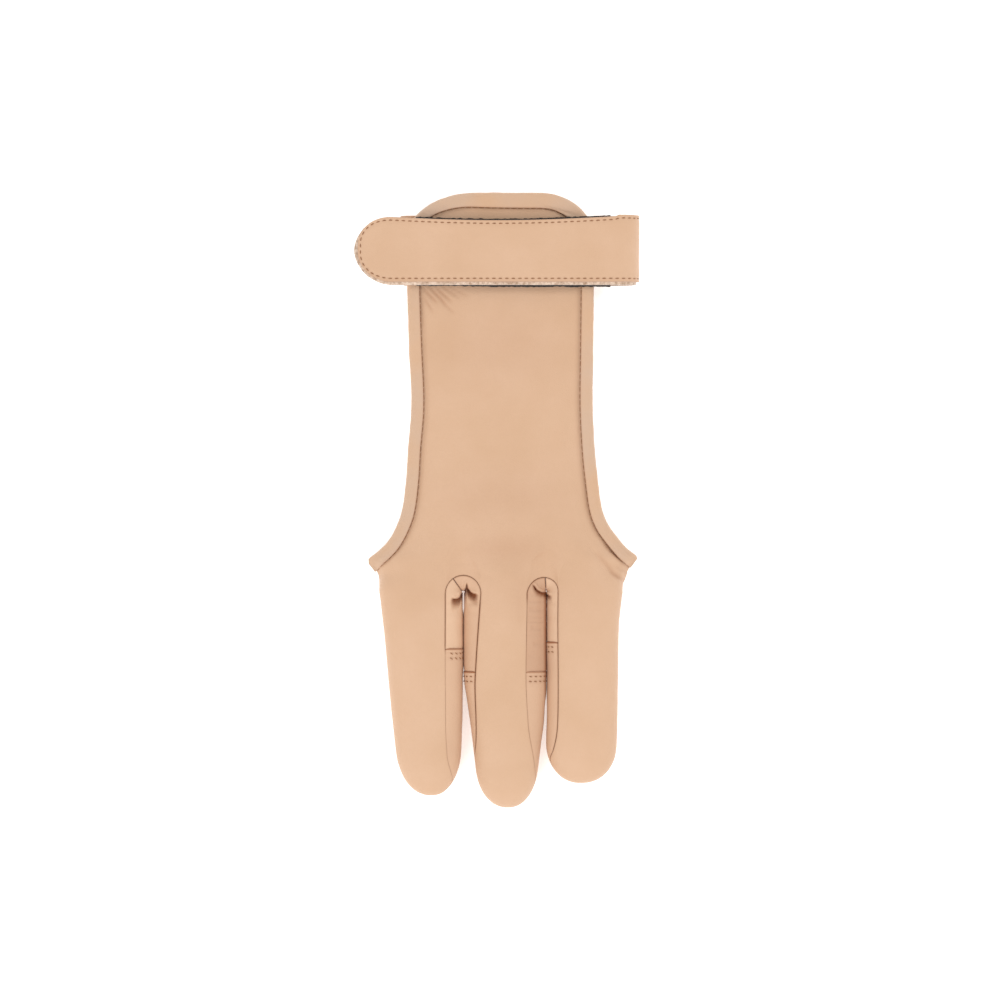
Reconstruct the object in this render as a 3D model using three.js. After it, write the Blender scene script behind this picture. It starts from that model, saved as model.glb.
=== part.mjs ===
import * as THREE from 'three';

// A three-finger shooting glove for the right hand, lying back up with its wrist strap closed.
// X runs across the hand towards the index finger, Y towards the wrist and Z up, in millimetres.

// Leathers, tapes and the clearance that every seam keeps
const BACK_LEATHER = 1.2;
const FINGER_LEATHER = 1.2;
const BINDING_LEATHER = 0.9;
const PALM_BINDING_LEATHER = 0.7;
const STRAP_LEATHER = 1.1;
const STRAP_BACKING = 1.0;
const TAPE = 1.0;
const SEAM_GAP = 0.3;
const SEAM_SLANT = 1.3;

// Back panel, from the finger crotches to the wrist
const CROTCH_Y = -34.4;
const BACK_LENGTH = 147;
const PANEL_WIDTH = 66.8;
const PANEL_CENTRE = 1.1;
const WING_FLARE = 13;
const WING_TAPER = 13;
const KNUCKLE_TAPER = 28;
const CORNER_LENGTH = 15.8;
const LEFT_CORNER_WIDTH = 24;
const RIGHT_CORNER_WIDTH = 18.8;

// Heights above the surface that the glove lies on
const KNUCKLE_HEIGHT = 15.5;
const WRIST_HOLLOW = 6.2;
const STRAP_ZONE_DROOP = 0.4;
const CROTCH_DIP = 1.7;
const CROTCH_OPENING = 0.6;
const PAD_SINK = 0.8;

// Palm band
const PALM_BAND = 14.6;
const PALM_BAND_DROP = 7;

// Bindings: how far each one laps over the leather that it covers
const SIDE_LAP = 3.2;
const WRIST_LAP = 4.4;
const PALM_LAP = 3;

// Where the side bindings give way to the wrist hem, under the strap, as a share of the straight edge
const BINDING_END = 0.95;

// How much looser than a seam the side bindings lie at their first stations, on the wings
const WING_EASE = [0.9, 0.7, 0.35];

// Fingers: clear gap where two lie side by side, and where the middle one stands
const FINGER_GAP = 0.5;
const MIDDLE_CENTRE = 2.7;
const OUTER_SEAM = 105;
const PAD_SEAM = 135;
const TIP_POWER = 2.2;
const SECTION_POWER = 0.8;

// Wrist strap: one band that folds under the wrist and closes over the back panel
const STRAP_WIDTH = 24.8;
const STRAP_FROM_WRIST_EDGE = 7.2;
const STRAP_TIP_REACH = 53.8;
const STRAP_FOLD_REACH = 51.4;
const STRAP_TIP_LENGTH = 13.7;
const STRAP_TIP_DROOP = 4;
const STRAP_TIP_FALL = 24;
const STRAP_EDGE_DIP = 2;
const STRAP_SEWN_LENGTH = 7;
const FOLD_PROUD = 2.5;
const BACKING_REVEAL = 0.8;
const HOOK_REVEAL = 0.4;
const HOOK_LENGTH = 72;
const HOOK_FROM_TIP = 22.5;
const LOOP_LENGTH = 54;
const LOOP_WIDTH = 19;
const LOOP_FROM_WRIST_EDGE = 11.4;

// Each finger's sections run from the crotch row to the tip. Left and right are its sides as shares
// of the half width, height is a share of the knuckle height. A seam's angle is measured round the
// section from the crest, on its own side, in degrees.
const RING = {
  length: 75.1,
  width: 30.7,
  tipLength: 18,
  bareFront: 20.7,
  tipLean: 0.25,
  sections: [
    { along: 0.0, left: 1.0, right: 1.0, height: 1.0 },
    { along: 0.23, left: 0.875, right: 1.0, height: 1.0 },
    { along: 0.55, left: 0.735, right: 1.0, height: 0.97 },
    { along: 0.78, left: 0.615, right: 0.97, height: 0.9 },
    { along: 1.0, left: 0.54, right: 0.92, height: 0.8 },
  ],
  leftSeam: [
    { along: 0.0, angle: OUTER_SEAM },
    { along: 0.8, angle: OUTER_SEAM },
    { along: 1.0, angle: 96 },
  ],
  rightSeam: [
    { along: 0.0, angle: 31 },
    { along: 0.5, angle: 27 },
    { along: 0.8, angle: 30 },
    { along: 0.88, angle: 46 },
    { along: 0.95, angle: 82 },
    { along: 1.0, angle: 96 },
  ],
};
const MIDDLE = {
  length: 79.6,
  width: 30.2,
  tipLength: 15,
  bareFront: 29.2,
  tipLean: 0.08,
  sections: [
    { along: 0.0, left: 1.0, right: 1.0, height: 1.0 },
    { along: 0.4, left: 0.985, right: 1.0, height: 0.98 },
    { along: 0.59, left: 0.86, right: 0.96, height: 0.96 },
    { along: 0.7, left: 0.785, right: 0.89, height: 0.92 },
    { along: 0.85, left: 0.7, right: 0.8, height: 0.86 },
    { along: 1.0, left: 0.64, right: 0.74, height: 0.78 },
  ],
  leftSeam: [
    { along: 0.0, angle: 31 },
    { along: 0.36, angle: 42 },
    { along: 0.59, angle: 53 },
    { along: 0.7, angle: 64 },
    { along: 0.8, angle: 90 },
    { along: 1.0, angle: 96 },
  ],
  rightSeam: [
    { along: 0.0, angle: 28 },
    { along: 0.6, angle: 30 },
    { along: 0.82, angle: 62 },
    { along: 0.9, angle: 88 },
    { along: 1.0, angle: 96 },
  ],
};
const INDEX = {
  length: 70.5,
  width: 28,
  tipLength: 15,
  bareFront: 18.3,
  tipLean: -0.1,
  sections: [
    { along: 0.0, left: 1.0, right: 1.0, height: 1.0 },
    { along: 0.16, left: 1.0, right: 0.91, height: 1.0 },
    { along: 0.46, left: 1.0, right: 0.88, height: 0.97 },
    { along: 0.67, left: 1.0, right: 0.865, height: 0.93 },
    { along: 0.8, left: 1.02, right: 0.85, height: 0.88 },
    { along: 1.0, left: 0.98, right: 0.84, height: 0.8 },
  ],
  leftSeam: [
    { along: 0.0, angle: 41 },
    { along: 0.68, angle: 40 },
    { along: 0.82, angle: 50 },
    { along: 0.9, angle: 84 },
    { along: 1.0, angle: 96 },
  ],
  rightSeam: [
    { along: 0.0, angle: OUTER_SEAM },
    { along: 0.8, angle: OUTER_SEAM },
    { along: 1.0, angle: 96 },
  ],
};

// The panel's long edges from the crotch row to the wrist corners, as shares of the wing flare
// that each edge stands out past the plain panel width
const PANEL_EDGES = [
  { along: 0.0, left: 0.85, right: 0.9 },
  { along: 0.045, left: 0.92, right: 1.01 },
  { along: 0.075, left: 1.08, right: 1.16 },
  { along: 0.095, left: 1.05, right: 1.27 },
  { along: 0.117, left: 0.78, right: 1.0 },
  { along: 0.145, left: 0.53, right: 0.75 },
  { along: 0.189, left: 0.29, right: 0.42 },
  { along: 0.234, left: 0.14, right: 0.24 },
  { along: 0.319, left: 0.03, right: 0.115 },
  { along: 0.403, left: -0.02, right: 0.03 },
  { along: 0.529, left: -0.115, right: -0.03 },
  { along: 0.7, left: -0.05, right: -0.015 },
  { along: 0.864, left: 0.0, right: 0.0 },
  { along: 1.0, left: 0.0, right: 0.0 },
];

// The panel's crest from the crotch row to the wrist edge: rise is the share of the way from the
// panel's height at the strap up to the knuckles, droop is how far the edges hang below the crest as
// a share of the knuckle height, and power is how late across the panel they fall
const PANEL_CREST = [
  { along: 0.0, rise: 1.0, droop: 0.46, power: 3 },
  { along: 0.182, rise: 0.65, droop: 0.36, power: 3 },
  { along: 0.332, rise: 0.22, droop: 0.22, power: 2.6 },
  { along: 0.482, rise: 0.04, droop: 0.16, power: 2.2 },
  { along: 0.631, rise: 0.0, droop: 0.1, power: 2.2 },
  { along: 0.74, rise: 0.0, droop: 0.026, power: 2.2 },
  { along: 0.944, rise: 0.0, droop: 0.026, power: 2.2 },
  { along: 1.0, rise: -0.15, droop: 0.026, power: 2.2 },
];

// Rows of the meshes, as shares of the lengths that they divide
const PANEL_ROWS = [0, 0.03, 0.06, 0.082, 0.098, 0.115, 0.14, 0.17, 0.21, 0.27, 0.35, 0.45, 0.57, 0.7, 0.85, 1];
const BARE_ROWS = [0, 0.33, 0.67, 1];
const REINFORCED_ROWS = [0, 0.25, 0.5, 0.75, 1];
const LEFT_WING_ROW = 3;
const RIGHT_WING_ROW = 4;
const CORNER_STEPS = 5;
const TIP_STEPS = 5;
const FINGER_COLUMNS = 8;
const CROTCH_COLUMNS = 6;
const GUSSET_COLUMNS = 7;

const mix = (a, b, t) => a + (b - a) * t;
const radians = (degrees) => (degrees * Math.PI) / 180;
const signedPower = (value, power) => Math.sign(value) * Math.abs(value) ** power;

function smooth(value) {
  const t = Math.min(1, Math.max(0, value));
  return t * t * (3 - 2 * t);
}

// Reads one named column of a table at a place along it, on a curve through the rows
function readTable(rows, key, along) {
  const last = rows.length - 1;
  const at = Math.min(rows[last].along, Math.max(rows[0].along, along));
  let i = 0;
  while (i < last - 1 && at > rows[i + 1].along) i += 1;
  const slope = (k) => {
    const low = rows[Math.max(0, k - 1)];
    const high = rows[Math.min(last, k + 1)];
    return (high[key] - low[key]) / (high.along - low.along);
  };
  const span = rows[i + 1].along - rows[i].along;
  const t = (at - rows[i].along) / span;
  const rise = rows[i + 1][key] - rows[i][key];
  const start = slope(i) * span;
  const end = slope(i + 1) * span;
  return rows[i][key] + start * t + (3 * rise - 2 * start - end) * t * t + (start + end - 2 * rise) * t ** 3;
}

// Places that follow from the sizes
MIDDLE.centre = MIDDLE_CENTRE;
RING.centre = MIDDLE.centre - MIDDLE.width / 2 - FINGER_GAP - RING.width / 2;
INDEX.centre = MIDDLE.centre + MIDDLE.width / 2 + FINGER_GAP + INDEX.width / 2;
const WRIST_Y = CROTCH_Y + BACK_LENGTH;
const CORNER_Y = WRIST_Y - CORNER_LENGTH;
const STRAP_STACK = STRAP_LEATHER + SEAM_GAP + STRAP_BACKING;
const PANEL_HEIGHT = STRAP_STACK + WRIST_HOLLOW + BACK_LEATHER;
const STRAP_TOP = PANEL_HEIGHT + SEAM_GAP + TAPE + SEAM_GAP + TAPE + SEAM_GAP + STRAP_STACK;
const PALM_LIFT = PALM_BINDING_LEATHER + SEAM_GAP;
const BINDING_PROUD = SEAM_GAP + BINDING_LEATHER;

// A point on a finger's skin: angle from the crest, positive towards the index finger, inset below
// the outer surface. The pad is flat where it lies on the surface.
function skin(finger, angle, along, inset) {
  const tipStart = 1 - finger.tipLength / finger.length;
  const t = Math.min(1, Math.max(0, (along - tipStart) / (1 - tipStart)));
  const round = Math.max(0, 1 - t ** TIP_POWER) ** (1 / TIP_POWER);
  const half = finger.width / 2;
  const axis = finger.centre + finger.tipLean * half;
  const leftReach = axis - (finger.centre - half * readTable(finger.sections, 'left', along)) - inset;
  const rightReach = finger.centre + half * readTable(finger.sections, 'right', along) - axis - inset;
  const centre = axis + ((rightReach - leftReach) / 2) * round;
  const reach = ((rightReach + leftReach) / 2) * round;
  const middle = (KNUCKLE_HEIGHT * readTable(finger.sections, 'height', along)) / 2;
  const lift = signedPower(Math.cos(radians(angle)), SECTION_POWER);
  const depth = lift > 0 ? middle - inset : middle + PAD_SINK - inset;
  return new THREE.Vector3(
    centre + reach * signedPower(Math.sin(radians(angle)), SECTION_POWER),
    CROTCH_Y - along * (finger.length - inset),
    Math.max(inset, middle + depth * round * lift),
  );
}

// The angle that lies half a seam gap past another one along the skin, towards the sign of shift
function pastSeam(finger, angle, along, shift) {
  const reach = skin(finger, angle - 1, along, 0).distanceTo(skin(finger, angle + 1, along, 0)) / 2;
  return angle + (shift * SEAM_GAP * SEAM_SLANT) / 2 / Math.max(reach, SEAM_GAP / 16);
}

// The angles between which the back leather covers a finger
function backSpan(finger, along) {
  return {
    from: pastSeam(finger, -readTable(finger.leftSeam, 'angle', along), along, 1),
    to: pastSeam(finger, readTable(finger.rightSeam, 'angle', along), along, -1),
  };
}

// The angles on the side and pad of a finger, from its left seam round below to its right seam
function padSpan(finger, along) {
  return {
    from: pastSeam(finger, -readTable(finger.leftSeam, 'angle', along), along, -1),
    to: pastSeam(finger, readTable(finger.rightSeam, 'angle', along) - 360, along, 1),
  };
}

// The palm side covers less on a finger's inner sides, where the gussets take over
function palmSpan(finger, along) {
  const left = finger === RING ? OUTER_SEAM : PAD_SEAM;
  const right = finger === INDEX ? OUTER_SEAM : PAD_SEAM;
  return {
    from: pastSeam(finger, -left, along, -1),
    to: pastSeam(finger, right - 360, along, 1),
  };
}

// A gusset's angles on one side of a finger, from the back's seam down to the palm's
function gussetSpan(finger, side, along) {
  const seams = side < 0 ? finger.leftSeam : finger.rightSeam;
  return {
    from: pastSeam(finger, side * readTable(seams, 'angle', along), along, side),
    to: pastSeam(finger, side * PAD_SEAM, along, -side),
  };
}

const CROTCHES = [
  { left: RING, right: MIDDLE, x: MIDDLE.centre - (MIDDLE.width + FINGER_GAP) / 2 },
  { left: MIDDLE, right: INDEX, x: MIDDLE.centre + (MIDDLE.width + FINGER_GAP) / 2 },
];

// A point on the saddle between two fingers: turn runs from -90 at the left finger to 90 at the
// right one, and down is the share of the way from the back's seam to the palm's
function saddle(crotch, turn, down, spans, inset) {
  const angle = (span) => mix(span.from, span.to, down);
  const left = skin(crotch.left, angle(spans.left), 0, inset);
  const right = skin(crotch.right, angle(spans.right), 0, inset);
  const share = (turn + 90) / 180;
  const bend = Math.cos(radians(turn));
  const throat = CROTCH_OPENING * bend * Math.sin(Math.PI * down);
  const radius = mix(crotch.x - left.x, right.x - crotch.x, share) + throat;
  const dip = CROTCH_DIP * bend * bend * Math.max(0, 1 - 2 * down);
  return new THREE.Vector3(
    crotch.x + radius * Math.sin(radians(turn)),
    CROTCH_Y + radius * bend,
    mix(left.z, right.z, share) - dip,
  );
}

// Edges of the back panel at a height along the hand
function panelEdges(y) {
  const past = Math.min(1, Math.max(0, (y - CORNER_Y) / CORNER_LENGTH));
  const along = (y - CROTCH_Y) / (CORNER_Y - CROTCH_Y);
  const corner = 1 - Math.sqrt(1 - past * past);
  return {
    left: PANEL_CENTRE - PANEL_WIDTH / 2 - WING_FLARE * readTable(PANEL_EDGES, 'left', along)
      + LEFT_CORNER_WIDTH * corner,
    right: PANEL_CENTRE + PANEL_WIDTH / 2 + WING_FLARE * readTable(PANEL_EDGES, 'right', along)
      - RIGHT_CORNER_WIDTH * corner,
  };
}

// Height of the panel, across running from -1 at its left edge to 1 at its right edge
function panelHeight(y, across) {
  const along = (y - CROTCH_Y) / BACK_LENGTH;
  const crest = mix(PANEL_HEIGHT, KNUCKLE_HEIGHT, readTable(PANEL_CREST, 'rise', along));
  const inStrapZone = smooth((along - 0.6) / 0.14);
  const droop = mix(KNUCKLE_HEIGHT * readTable(PANEL_CREST, 'droop', along), STRAP_ZONE_DROOP, inStrapZone);
  return crest - droop * Math.abs(across) ** readTable(PANEL_CREST, 'power', along);
}

// Splits the width of the hand at the crotch row into the fingers and the two crotches between them
function handGroups(span) {
  const sameAngle = (angle) => ({ from: angle, to: angle });
  const fingerGroup = (finger) => ({ finger, span: span(finger, 0), columns: FINGER_COLUMNS });
  const crotchGroup = (crotch) => ({
    crotch,
    spans: { left: sameAngle(span(crotch.left, 0).to), right: sameAngle(span(crotch.right, 0).from) },
    columns: CROTCH_COLUMNS,
  });
  const [ringCrotch, indexCrotch] = CROTCHES;
  return [
    fingerGroup(RING),
    crotchGroup(ringCrotch),
    fingerGroup(MIDDLE),
    crotchGroup(indexCrotch),
    fingerGroup(INDEX),
  ];
}

// Where a share of one group's width stands at the crotch row
function groupPoint(group, share, inset, down) {
  if (group.finger) {
    return skin(group.finger, mix(group.span.from, group.span.to, share), 0, inset);
  }
  return saddle(group.crotch, mix(-90, 90, share), down, group.spans, inset);
}

// Shares of the hand's width at which each group starts and ends
function measureGroups(groups, down) {
  const left = groupPoint(groups[0], 0, 0, down).x;
  const right = groupPoint(groups[groups.length - 1], 1, 0, down).x;
  groups.forEach((group) => {
    group.start = (groupPoint(group, 0, 0, down).x - left) / (right - left);
    group.end = (groupPoint(group, 1, 0, down).x - left) / (right - left);
  });
  return groups;
}

const BACK_GROUPS = measureGroups(handGroups(backSpan), 0);
const PALM_GROUPS = measureGroups(handGroups(palmSpan), 1);

// A point of the back leather between the crotch row and the wrist
function backPoint(group, share, y, inset) {
  const edges = panelEdges(y);
  const across = mix(group.start, group.end, share);
  const form = groupPoint(group, share, inset, 0);
  const knuckles = smooth((CROTCH_Y + KNUCKLE_TAPER - y) / KNUCKLE_TAPER);
  const sides = smooth((CROTCH_Y + WING_TAPER - y) / WING_TAPER);
  return new THREE.Vector3(
    mix(mix(edges.left, edges.right, across), form.x, sides),
    y + knuckles * (form.y - CROTCH_Y),
    mix(panelHeight(y, 2 * across - 1) - inset, form.z, knuckles),
  );
}

// Height of the back leather's outer surface over a place near one of its long edges
function backHeight(x, y) {
  const group = x < PANEL_CENTRE ? BACK_GROUPS[0] : BACK_GROUPS[BACK_GROUPS.length - 1];
  const outer = x < PANEL_CENTRE ? 0 : 1;
  let near = outer;
  let far = 1 - outer;
  for (let i = 0; i < 24; i += 1) {
    const share = (near + far) / 2;
    const past = Math.abs(backPoint(group, share, y, 0).x - PANEL_CENTRE) > Math.abs(x - PANEL_CENTRE);
    if (past) near = share;
    else far = share;
  }
  return backPoint(group, (near + far) / 2, y, 0).z;
}

// The palm band's free edge and the rows from it down to the crotches
function palmPoint(group, share, row, inset) {
  const form = groupPoint(group, share, inset, 1);
  const across = 2 * mix(group.start, group.end, share) - 1;
  const hemY = CROTCH_Y + PALM_BAND - PALM_BAND_DROP * Math.abs(across) ** 3;
  const y = mix(hemY, form.y, row);
  const edges = panelEdges(y);
  const sides = smooth((CROTCH_Y + WING_TAPER - y) / WING_TAPER);
  const outer = across < 0
    ? mix(edges.left, groupPoint(PALM_GROUPS[0], 0, 0, 1).x, sides) - groupPoint(PALM_GROUPS[0], 0, 0, 1).x
    : mix(edges.right, groupPoint(PALM_GROUPS[4], 1, 0, 1).x, sides) - groupPoint(PALM_GROUPS[4], 1, 0, 1).x;
  const lift = inset + PALM_LIFT * (1 - smooth((row - 0.4) / 0.4));
  const spread = smooth(row / 0.8);
  const straightX = group.finger
    ? form.x
    : mix(groupPoint(group, 0, inset, 1).x, groupPoint(group, 1, inset, 1).x, share);
  return new THREE.Vector3(
    mix(straightX, form.x, spread) + outer * Math.abs(across) ** 8,
    y,
    Math.max(lift, group.finger ? form.z : mix(lift, form.z, spread)),
  );
}

// Makes the geometry of a closed body and turns its faces outwards
function closedBody(position, index) {
  const corner = (k) => new THREE.Vector3().fromArray(position, 3 * index[k]);
  let volume = 0;
  for (let k = 0; k < index.length; k += 3) volume += corner(k).dot(corner(k + 1).cross(corner(k + 2)));
  const geometry = new THREE.BufferGeometry();
  geometry.setAttribute('position', new THREE.Float32BufferAttribute(position, 3));
  geometry.setIndex(volume > 0 ? index : index.slice().reverse());
  geometry.computeVertexNormals();
  return geometry;
}

// Closed body between an outer and an inner skin. Cells list the corners counter-clockwise as seen
// from outside, and every free edge gets a rim.
function thickSheet(points, cells) {
  const position = [];
  points.forEach((point) => position.push(...point.outer.toArray()));
  points.forEach((point) => position.push(...point.inner.toArray()));
  const inside = points.length;
  const index = [];
  const edges = new Map();
  cells.forEach((corners) => {
    const cell = corners.filter((corner, i) => corner !== corners[(i + 1) % corners.length]);
    for (let i = 2; i < cell.length; i += 1) {
      index.push(cell[0], cell[i - 1], cell[i]);
      index.push(inside + cell[0], inside + cell[i], inside + cell[i - 1]);
    }
    cell.forEach((corner, i) => {
      const next = cell[(i + 1) % cell.length];
      edges.set(`${corner}/${next}`, [corner, next]);
    });
  });
  edges.forEach(([a, b]) => {
    if (edges.has(`${b}/${a}`)) return;
    index.push(b, a, inside + a, b, inside + a, inside + b);
  });
  return closedBody(position, index);
}

// Collects the points of a sheet by name, so that neighbouring strips share their common edge
class Sheet {
  constructor(place) {
    this.place = place;
    this.names = new Map();
    this.points = [];
    this.cells = [];
  }

  point(name, ...where) {
    if (!this.names.has(name)) {
      this.names.set(name, this.points.length);
      this.points.push({ outer: this.place(...where, 0), inner: this.place(...where, 1) });
    }
    return this.names.get(name);
  }

  strip(rows) {
    for (let r = 1; r < rows.length; r += 1) {
      for (let c = 1; c < rows[r].length; c += 1) {
        this.cells.push([rows[r - 1][c - 1], rows[r][c - 1], rows[r][c], rows[r - 1][c]]);
      }
    }
  }

  geometry() {
    return thickSheet(this.points, this.cells);
  }
}

// The place along a finger of the reinforced tip's edge (side 1) or the bare front's edge (side -1)
function tipEdge(finger, side) {
  return (finger.bareFront + (side * SEAM_GAP) / 2) / finger.length;
}

// Rows along a finger's reinforced part, closer together where the tip rounds off
function rowsToTip(finger) {
  const tipStart = 1 - finger.tipLength / finger.length;
  const rows = REINFORCED_ROWS.map((share) => mix(tipEdge(finger, 1), tipStart, share));
  for (let i = 1; i <= TIP_STEPS; i += 1) {
    const t = Math.sin(radians((90 * i) / TIP_STEPS)) ** (2 / TIP_POWER);
    rows.push(mix(tipStart, 1, t));
  }
  return rows;
}

// A point on a finger's skin in a span of angles. At the very tip both sides of the seam meet, so
// each keeps half of the gap up or down.
function spanPoint(finger, span, share, along, side, inset) {
  const range = span(finger, Math.min(along, 0.999));
  const point = skin(finger, mix(range.from, range.to, share), along, inset);
  if (along === 1) point.z += (side * SEAM_GAP) / 2;
  return point;
}

function columnShares(count) {
  return Array.from({ length: count + 1 }, (_, i) => i / count);
}

// Back of the hand and the three finger backs, one piece of leather
function backPanel() {
  const sheet = new Sheet((make, layer) => make(layer * BACK_LEATHER));
  const rows = PANEL_ROWS.map((share) => mix(CROTCH_Y, CORNER_Y, share));
  for (let i = 1; i <= CORNER_STEPS; i += 1) {
    rows.push(CORNER_Y + CORNER_LENGTH * Math.sin(radians((90 * i) / CORNER_STEPS)));
  }
  BACK_GROUPS.forEach((group, g) => {
    const shares = columnShares(group.columns);
    const grid = rows.map((y, r) => shares.map((share, c) => {
      const name = c === 0 ? `${g - 1}.end.${r}` : c === group.columns ? `${g}.end.${r}` : `${g}.${c}.${r}`;
      return sheet.point(name, (inset) => backPoint(group, share, y, inset));
    }));
    sheet.strip(grid.reverse());
    if (!group.finger) return;
    const front = BARE_ROWS.slice(0, -1).map((part) => part * tipEdge(group.finger, -1));
    const fingerRows = [...front, ...rowsToTip(group.finger)];
    const fingerGrid = fingerRows.map((along, r) => shares.map((share, c) => {
      if (r === 0) return grid[grid.length - 1][c];
      const name = along === 1 ? `${g}.tip` : `${g}.finger.${c}.${r}`;
      return sheet.point(name, (inset) => spanPoint(group.finger, backSpan, share, along, 1, inset));
    }));
    sheet.strip(fingerGrid);
  });
  return sheet.geometry();
}

// Palm band and the bare fronts of the three fingers, one piece of leather
function palmLeather() {
  const sheet = new Sheet((make, layer) => make(layer * FINGER_LEATHER));
  const rows = [0, 0.2, 0.4, 0.6, 0.8, 1];
  PALM_GROUPS.forEach((group, g) => {
    const shares = columnShares(group.columns);
    const grid = rows.map((row, r) => shares.map((share, c) => {
      const name = c === 0 ? `${g - 1}.end.${r}` : c === group.columns ? `${g}.end.${r}` : `${g}.${c}.${r}`;
      return sheet.point(name, (inset) => palmPoint(group, share, row, inset));
    }));
    sheet.strip(grid.map((row) => row.slice().reverse()));
    if (!group.finger) return;
    const { finger } = group;
    const end = tipEdge(finger, -1);
    const fingerGrid = BARE_ROWS.map((part, r) => shares.map((share, c) => {
      if (r === 0) return grid[grid.length - 1][c];
      const name = `${g}.finger.${c}.${r}`;
      return sheet.point(name, (inset) => spanPoint(finger, palmSpan, share, part * end, -1, inset));
    }));
    sheet.strip(fingerGrid.map((row) => row.slice().reverse()));
  });
  return sheet.geometry();
}

// Reinforced tip: the sides and the pad of one finger from its stitched edge to the end
function fingerTip(finger) {
  const sheet = new Sheet((make, layer) => make(layer * FINGER_LEATHER));
  const shares = columnShares(FINGER_COLUMNS * 2);
  const grid = rowsToTip(finger).map((along, r) => shares.map((share, c) => {
    const name = along === 1 ? 'tip' : `${c}.${r}`;
    return sheet.point(name, (inset) => spanPoint(finger, padSpan, share, along, -1, inset));
  }));
  sheet.strip(grid.map((row) => row.slice().reverse()));
  return sheet.geometry();
}

// Side strip of a finger from its reinforced tip up to the crotch and round it as far as the seam
function gusset(finger, side, crotch, seamTurn) {
  const sheet = new Sheet((make, layer) => make(layer * FINGER_LEATHER));
  const shares = columnShares(GUSSET_COLUMNS);
  const spans = { left: gussetSpan(crotch.left, 1, 0), right: gussetSpan(crotch.right, -1, 0) };
  const end = tipEdge(finger, -1);
  const rows = [];
  BARE_ROWS.slice().reverse().forEach((part) => {
    rows.push((down, inset) => {
      const range = gussetSpan(finger, side, part * end);
      return skin(finger, mix(range.from, range.to, down), part * end, inset);
    });
  });
  [0.3, 0.6, 0.85, 1].forEach((part) => {
    const turn = mix(-90 * side, seamTurn, part);
    rows.push((down, inset) => {
      const point = saddle(crotch, turn, down, spans, inset);
      const back = part === 1 ? (-side * SEAM_GAP) / 2 : 0;
      point.x += back * Math.cos(radians(turn));
      point.y -= back * Math.sin(radians(turn));
      return point;
    });
  });
  const grid = rows.map((row, r) => shares.map((down, c) => sheet.point(`${c}.${r}`, (inset) => row(down, inset))));
  sheet.strip(side > 0 ? grid : grid.map((row) => row.slice().reverse()));
  return sheet.geometry();
}

// Folded binding over a leather edge. Each station has the edge point, the plan direction out of the
// leather, and the leather's top and bottom at a distance in from the edge.
function foldedBinding(stations, lap, leather) {
  const rings = stations.map(({ edge, out, faces, ease = 0 }) => {
    const at = (distance, lift, below) => {
      const plan = edge.clone().addScaledVector(out, distance);
      const [top, bottom] = faces(distance < 0 ? plan : edge);
      const clear = lift + (distance < 0 ? ease : ease / 2);
      return new THREE.Vector3(plan.x, plan.y, below ? bottom - clear : top + clear);
    };
    const full = SEAM_GAP + leather;
    const half = -lap / 2;
    return [
      at(-lap, SEAM_GAP, false),
      at(half, SEAM_GAP, false),
      at(SEAM_GAP, SEAM_GAP, false),
      at(SEAM_GAP, SEAM_GAP, true),
      at(half, SEAM_GAP, true),
      at(-lap, SEAM_GAP, true),
      at(-lap, full, true),
      at(half, full, true),
      at(0, full, true),
      at(SEAM_GAP + leather * 0.75, SEAM_GAP + leather * 0.4, true),
      at(full, 0, true),
      at(full, 0, false),
      at(SEAM_GAP + leather * 0.75, SEAM_GAP + leather * 0.4, false),
      at(0, full, false),
      at(half, full, false),
      at(-lap, full, false),
    ];
  });
  return loft(rings);
}

// Closed body through a row of equal rings, with its two ends capped
function loft(rings) {
  const size = rings[0].length;
  const position = rings.flat().flatMap((point) => point.toArray());
  const index = [];
  for (let r = 1; r < rings.length; r += 1) {
    for (let c = 0; c < size; c += 1) {
      const a = (r - 1) * size + c;
      const b = (r - 1) * size + ((c + 1) % size);
      index.push(a, b, b + size, a, b + size, a + size);
    }
  }
  [0, rings.length - 1].forEach((r) => {
    const ring = rings[r];
    const out = ring[1].clone().sub(ring[0]);
    out.z = 0;
    out.normalize();
    const flat = ring.map((point) => new THREE.Vector2(point.clone().sub(ring[0]).dot(out), point.z));
    const winding = THREE.ShapeUtils.area(flat);
    THREE.ShapeUtils.triangulateShape(flat.slice(), []).forEach((face) => {
      const sameWay = THREE.ShapeUtils.area(face.map((k) => flat[k])) * winding > 0;
      const corners = face.map((k) => r * size + k);
      index.push(...(sameWay === (r === 0) ? corners.reverse() : corners));
    });
  });
  return closedBody(position, index);
}

// Stations of a binding along a row of edge points, given the side on which the open air lies
function bindingStations(edge, airSide, faces) {
  return edge.map((point, i) => {
    const before = edge[Math.max(0, i - 1)];
    const after = edge[Math.min(edge.length - 1, i + 1)];
    const along = after.clone().sub(before).setZ(0).normalize();
    const out = new THREE.Vector3(-along.y * airSide, along.x * airSide, 0);
    return { edge: point, out, faces };
  });
}

const backFaces = (plan) => {
  const top = backHeight(plan.x, plan.y);
  return [top, top - BACK_LEATHER];
};

// Binding of one long edge of the back panel, from under the strap down to the wing's end
function sideBinding(side) {
  const group = side < 0 ? BACK_GROUPS[0] : BACK_GROUPS[BACK_GROUPS.length - 1];
  const wing = side < 0 ? LEFT_WING_ROW : RIGHT_WING_ROW;
  const shares = [...PANEL_ROWS.slice(wing).filter((share) => share < BINDING_END), BINDING_END];
  const edge = shares.map((share) => {
    const y = mix(CROTCH_Y, CORNER_Y, share);
    return backPoint(group, side < 0 ? 0 : 1, y, 0);
  });
  const stations = bindingStations(edge, -side, backFaces);
  WING_EASE.forEach((ease, i) => { stations[i].ease = ease; });
  return foldedBinding(stations, SIDE_LAP, BINDING_LEATHER);
}

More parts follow.
